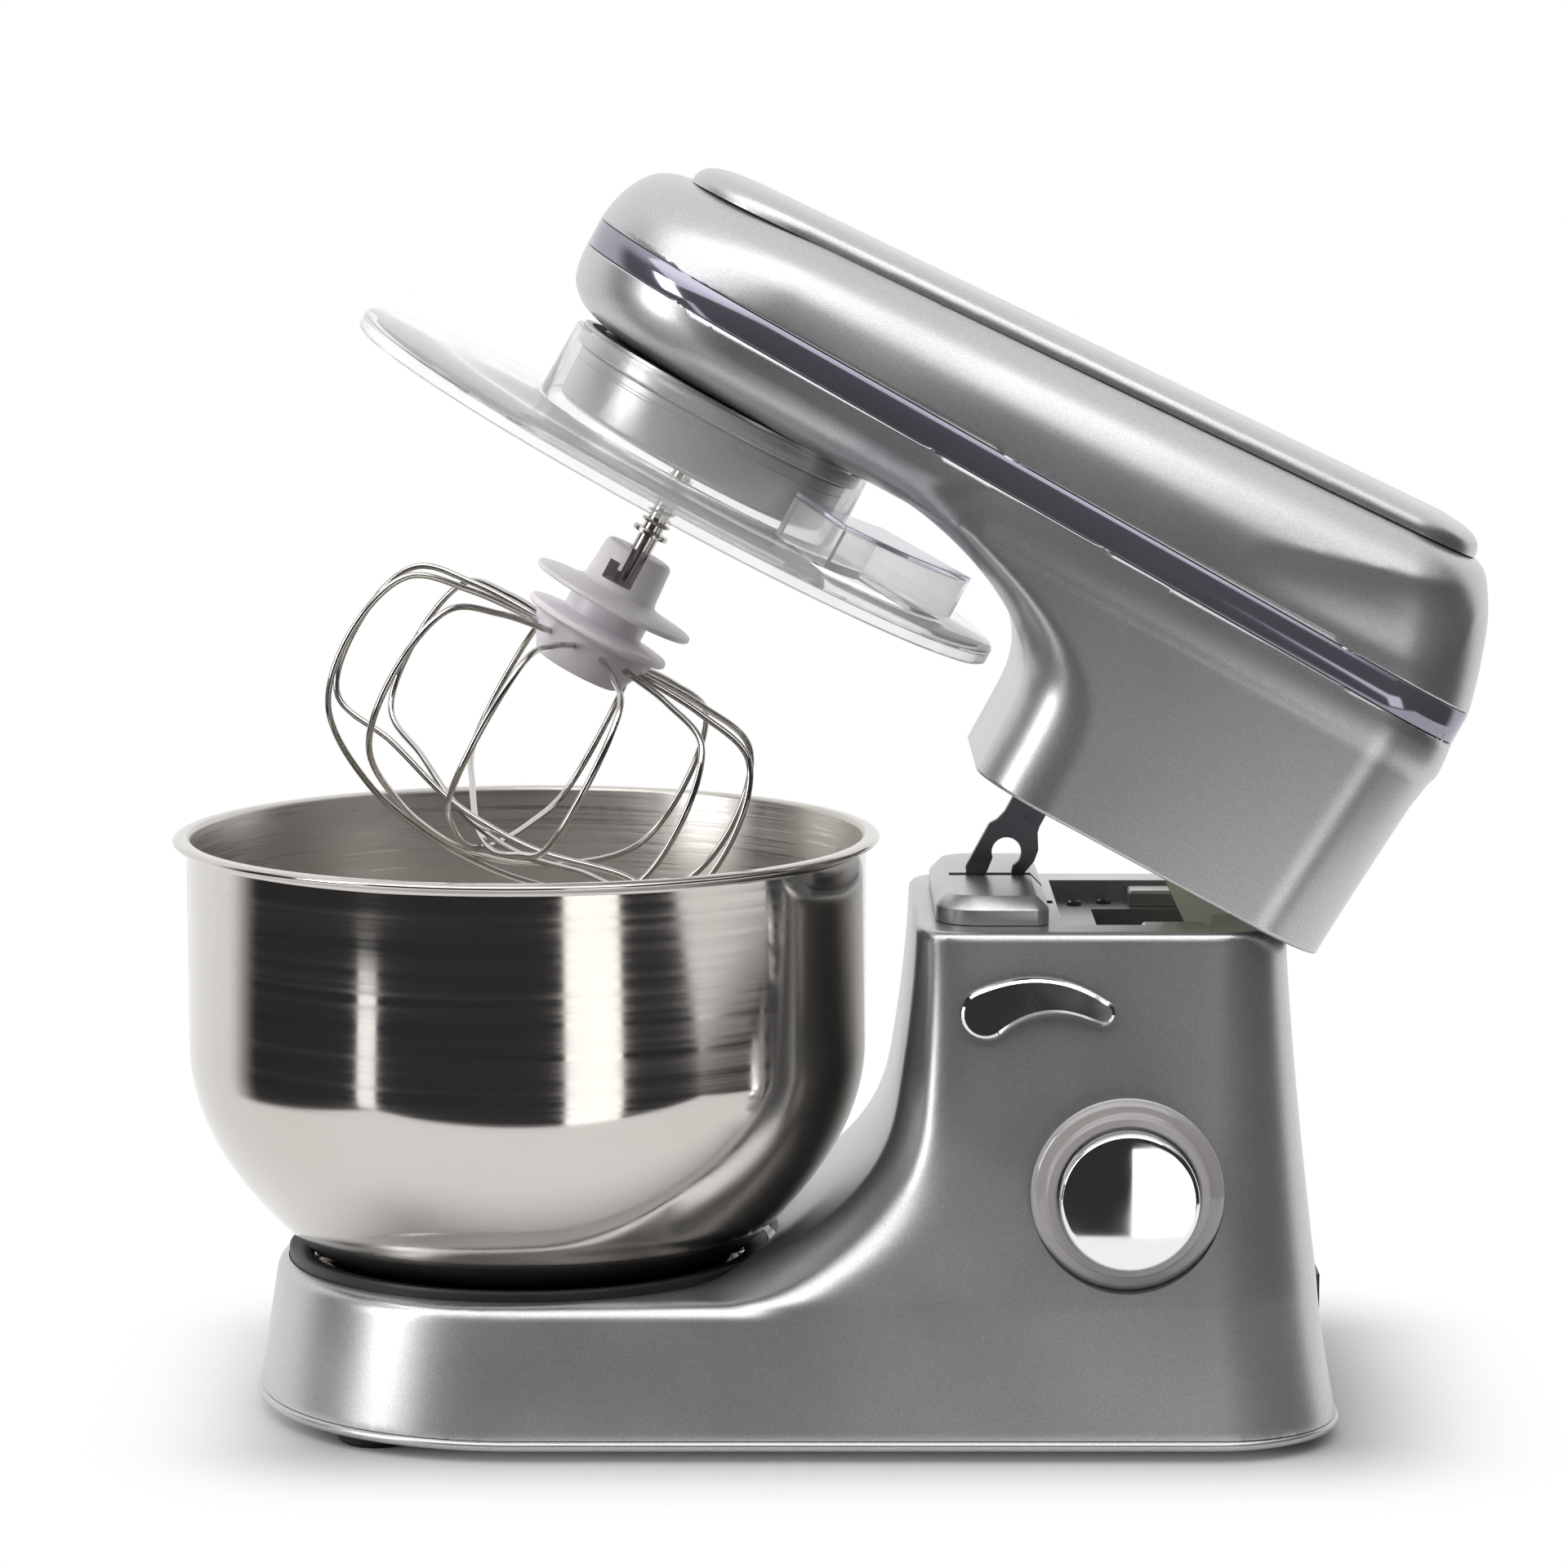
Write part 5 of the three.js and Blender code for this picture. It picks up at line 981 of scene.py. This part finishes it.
def make_hook():
    """Dark stamped hook plate with rounded corners."""
    x, z, mouth = -80.5, -9.5, 3.6
    front = [(-87.5, 22.5), (-87.5, 2), (-88.4, -1.5), (-90, -4), (-90, -20), (-88, -23), (-86, -23),
             (x + 1.2 - mouth, -18.5)]
    hole = arc((x, z), 4.8, math.pi * 1.28, -math.pi * 0.2, 24)
    rear = [(x + 1.8 + mouth, -17.5), (-73.8, -18.6), (-72.2, -14), (-71, -8), (-71.6, -4), (-74.6, 1),
            (-75, 3), (-75, 22.5)]
    hook = prism(np.concatenate([front, hole, rear]), -1.5, 1.5)
    piece("hook_dark", *hook, "head", DARK, ["latch_hook"], "dark_steel", tilted, 30, 0.35)


make_housing()
make_seat()
make_plate()
make_latch_cover()
make_recess()
make_bowl()
make_lever()
make_knob()
make_head()
make_band()
make_cover()
make_drum()
make_mount()
make_guard()
make_chute()
make_shaft()
make_hub()
make_wires()
make_hook()

# ---------- floor, light and camera ----------

scene = bpy.context.scene
scene.view_settings.view_transform = "Standard"


def make_floor():
    """White table that ends in front of the mixer; away from it the paper glows, so no horizon shows. Round
    the base is a painted shadow: the paper is darker there and does not glow.
    """
    mesh = bpy.data.meshes.new("floor")
    (near, near_half), (far, far_half) = (-0.33, 0.42), (12, 3.2)
    corners = [(-near_half, near, 0), (near_half, near, 0), (far_half, far, 0), (-far_half, far, 0)]
    mesh.from_pydata(corners, [], [(0, 1, 2, 3)])
    floor = bpy.data.objects.new("floor", mesh)
    scene.collection.objects.link(floor)
    made, tree, shader = material("floor_paper_painted_shadow", (0.74, 0.74, 0.74), 0.0, 0.7, Specular_IOR_Level=0.2)
    tree.links.new(ramp(tree, noise(tree, 3, 2), 0.65, 0.75), shader.inputs["Roughness"])
    coordinates = tree.nodes.new("ShaderNodeTexCoord")
    source = coordinates.outputs["Object"]
    steps = ("ABSOLUTE", None), ("SUBTRACT", (0.15, 0.07, 0)), ("MAXIMUM", (0, 0, 0)), ("LENGTH", None)
    for operation, value in steps:
        distance = tree.nodes.new("ShaderNodeVectorMath")
        distance.operation = operation
        tree.links.new(source, distance.inputs[0])
        if value:
            distance.inputs[1].default_value = value
        source = distance.outputs[0]
    away = tree.nodes.new("ShaderNodeMapRange")
    away.interpolation_type = "SMOOTHSTEP"
    away.inputs["From Min"].default_value = 0.0
    away.inputs["From Max"].default_value = 0.095
    tree.links.new(distance.outputs["Value"], away.inputs["Value"])
    # Painted shadow: the paper's colour darkens towards the base, from 0.80 away from it to 0.40 at it.
    tint(tree, shader, away.outputs["Result"], (0.40, 0.40, 0.41), (0.80, 0.80, 0.80))
    glow = tree.nodes.new("ShaderNodeEmission")
    glow.inputs["Strength"].default_value = 1.0
    mix = tree.nodes.new("ShaderNodeMixShader")
    # The glow fades out towards the base as well, which deepens the painted shadow.
    tree.links.new(away.outputs["Result"], mix.inputs["Fac"])
    tree.links.new(shader.outputs["BSDF"], mix.inputs[1])
    tree.links.new(glow.outputs["Emission"], mix.inputs[2])
    tree.links.new(mix.outputs["Shader"], tree.nodes["Material Output"].inputs["Surface"])
    mesh.materials.append(made)


def make_world():
    """Studio surroundings: white to the eye and overhead; what is mirrored in front is a dark room."""
    world = bpy.data.worlds.new("studio")
    scene.world = world
    world.use_nodes = True
    tree = world.node_tree
    tree.nodes.clear()
    link = tree.links.new
    direction = tree.nodes.new("ShaderNodeTexCoord")
    split = tree.nodes.new("ShaderNodeSeparateXYZ")
    link(direction.outputs["Generated"], split.inputs["Vector"])

    def step(source, start, end):
        """Smooth rise from 0 to 1 between two values."""
        node = tree.nodes.new("ShaderNodeMapRange")
        node.interpolation_type = "SMOOTHSTEP"
        node.inputs["From Min"].default_value = start
        node.inputs["From Max"].default_value = end
        link(source, node.inputs["Value"])
        return node.outputs["Result"]

    def times(a, b):
        """Product of two values."""
        node = tree.nodes.new("ShaderNodeMath")
        node.operation = "MULTIPLY"
        link(a, node.inputs[0])
        link(b, node.inputs[1])
        return node.outputs[0]

    in_front = step(split.outputs["Y"], 0.50, 0.20)
    low = step(split.outputs["Z"], 0.80, 0.45)
    rays = tree.nodes.new("ShaderNodeLightPath")
    mirrored = tree.nodes.new("ShaderNodeMath")
    mirrored.operation = "ADD"
    mirrored.use_clamp = True
    link(rays.outputs["Glossy Depth"], mirrored.inputs[0])
    link(rays.outputs["Diffuse Depth"], mirrored.inputs[1])
    dark = times(times(in_front, low), mirrored.outputs[0])
    mix = tree.nodes.new("ShaderNodeMix")
    mix.data_type = "RGBA"
    mix.inputs["A"].default_value = (1.0, 1.0, 1.0, 1)
    mix.inputs["B"].default_value = (0.030, 0.028, 0.030, 1)
    link(dark, mix.inputs["Factor"])
    background = tree.nodes.new("ShaderNodeBackground")
    background.inputs["Strength"].default_value = 1.0
    output = tree.nodes.new("ShaderNodeOutputWorld")
    link(mix.outputs["Result"], background.inputs["Color"])
    link(background.outputs["Background"], output.inputs["Surface"])


def area_light(name, place, aim, size, power):
    """Rectangular softbox aimed at a point."""
    lamp = bpy.data.lights.new(name, "AREA")
    lamp.shape = "RECTANGLE"
    lamp.size, lamp.size_y = size
    lamp.energy = power
    obj = bpy.data.objects.new(name, lamp)
    obj.location = place
    obj.rotation_euler = (Vector(aim) - Vector(place)).to_track_quat("-Z", "Y").to_euler()
    scene.collection.objects.link(obj)


def card(name, low, high, strength):
    """Glowing upright card between two corners, seen only in reflections."""
    (x0, y0, z0), (x1, y1, z1) = low, high
    mesh = bpy.data.meshes.new(name)
    mesh.from_pydata([(x0, y0, z0), (x1, y1, z0), (x1, y1, z1), (x0, y0, z1)], [], [(0, 1, 2, 3)])
    made, tree, shader = material(name, (0.8, 0.8, 0.8), 0.0, 0.8, Emission_Color=(1, 0.99, 0.97, 1))
    glow = ramp(tree, noise(tree, 3, 2), strength * 0.9, strength * 1.1)
    tree.links.new(glow, shader.inputs["Emission Strength"])
    mesh.materials.append(made)
    obj = bpy.data.objects.new(name, mesh)
    obj.visible_camera = obj.visible_transmission = obj.visible_diffuse = False
    scene.collection.objects.link(obj)


def make_camera():
    """Camera in front of the lever's side, a little above, aimed at the middle of the mixer."""
    distance, pitch = 1.72, math.radians(7.7)
    target = placed([(84, 0, 202.3)])[0]
    lens = bpy.data.cameras.new("view")
    lens.sensor_width = 36
    lens.lens = 120.9
    camera = bpy.data.objects.new("view", lens)
    camera.location = (target[0], -distance * math.cos(pitch), target[2] + distance * math.sin(pitch))
    camera.rotation_euler = (math.pi / 2 - pitch, 0, 0)
    scene.collection.objects.link(camera)
    scene.camera = camera


make_floor()
make_world()
area_light("overhead", (-0.2, -0.9, 1.5), (0, 0, 0.2), (2.8, 1.3), 18)
area_light("left_box", (-1.6, -0.7, 0.7), (0, 0, 0.15), (0.5, 0.9), 10)
card("knob_card", (0.16, -1.0, -0.5), (0.55, -1.0, 0.04), 1.0)
card("gap_card", (-1.0, -0.66, -0.2), (-0.92, -0.76, 0.3), 0.8)
make_camera()
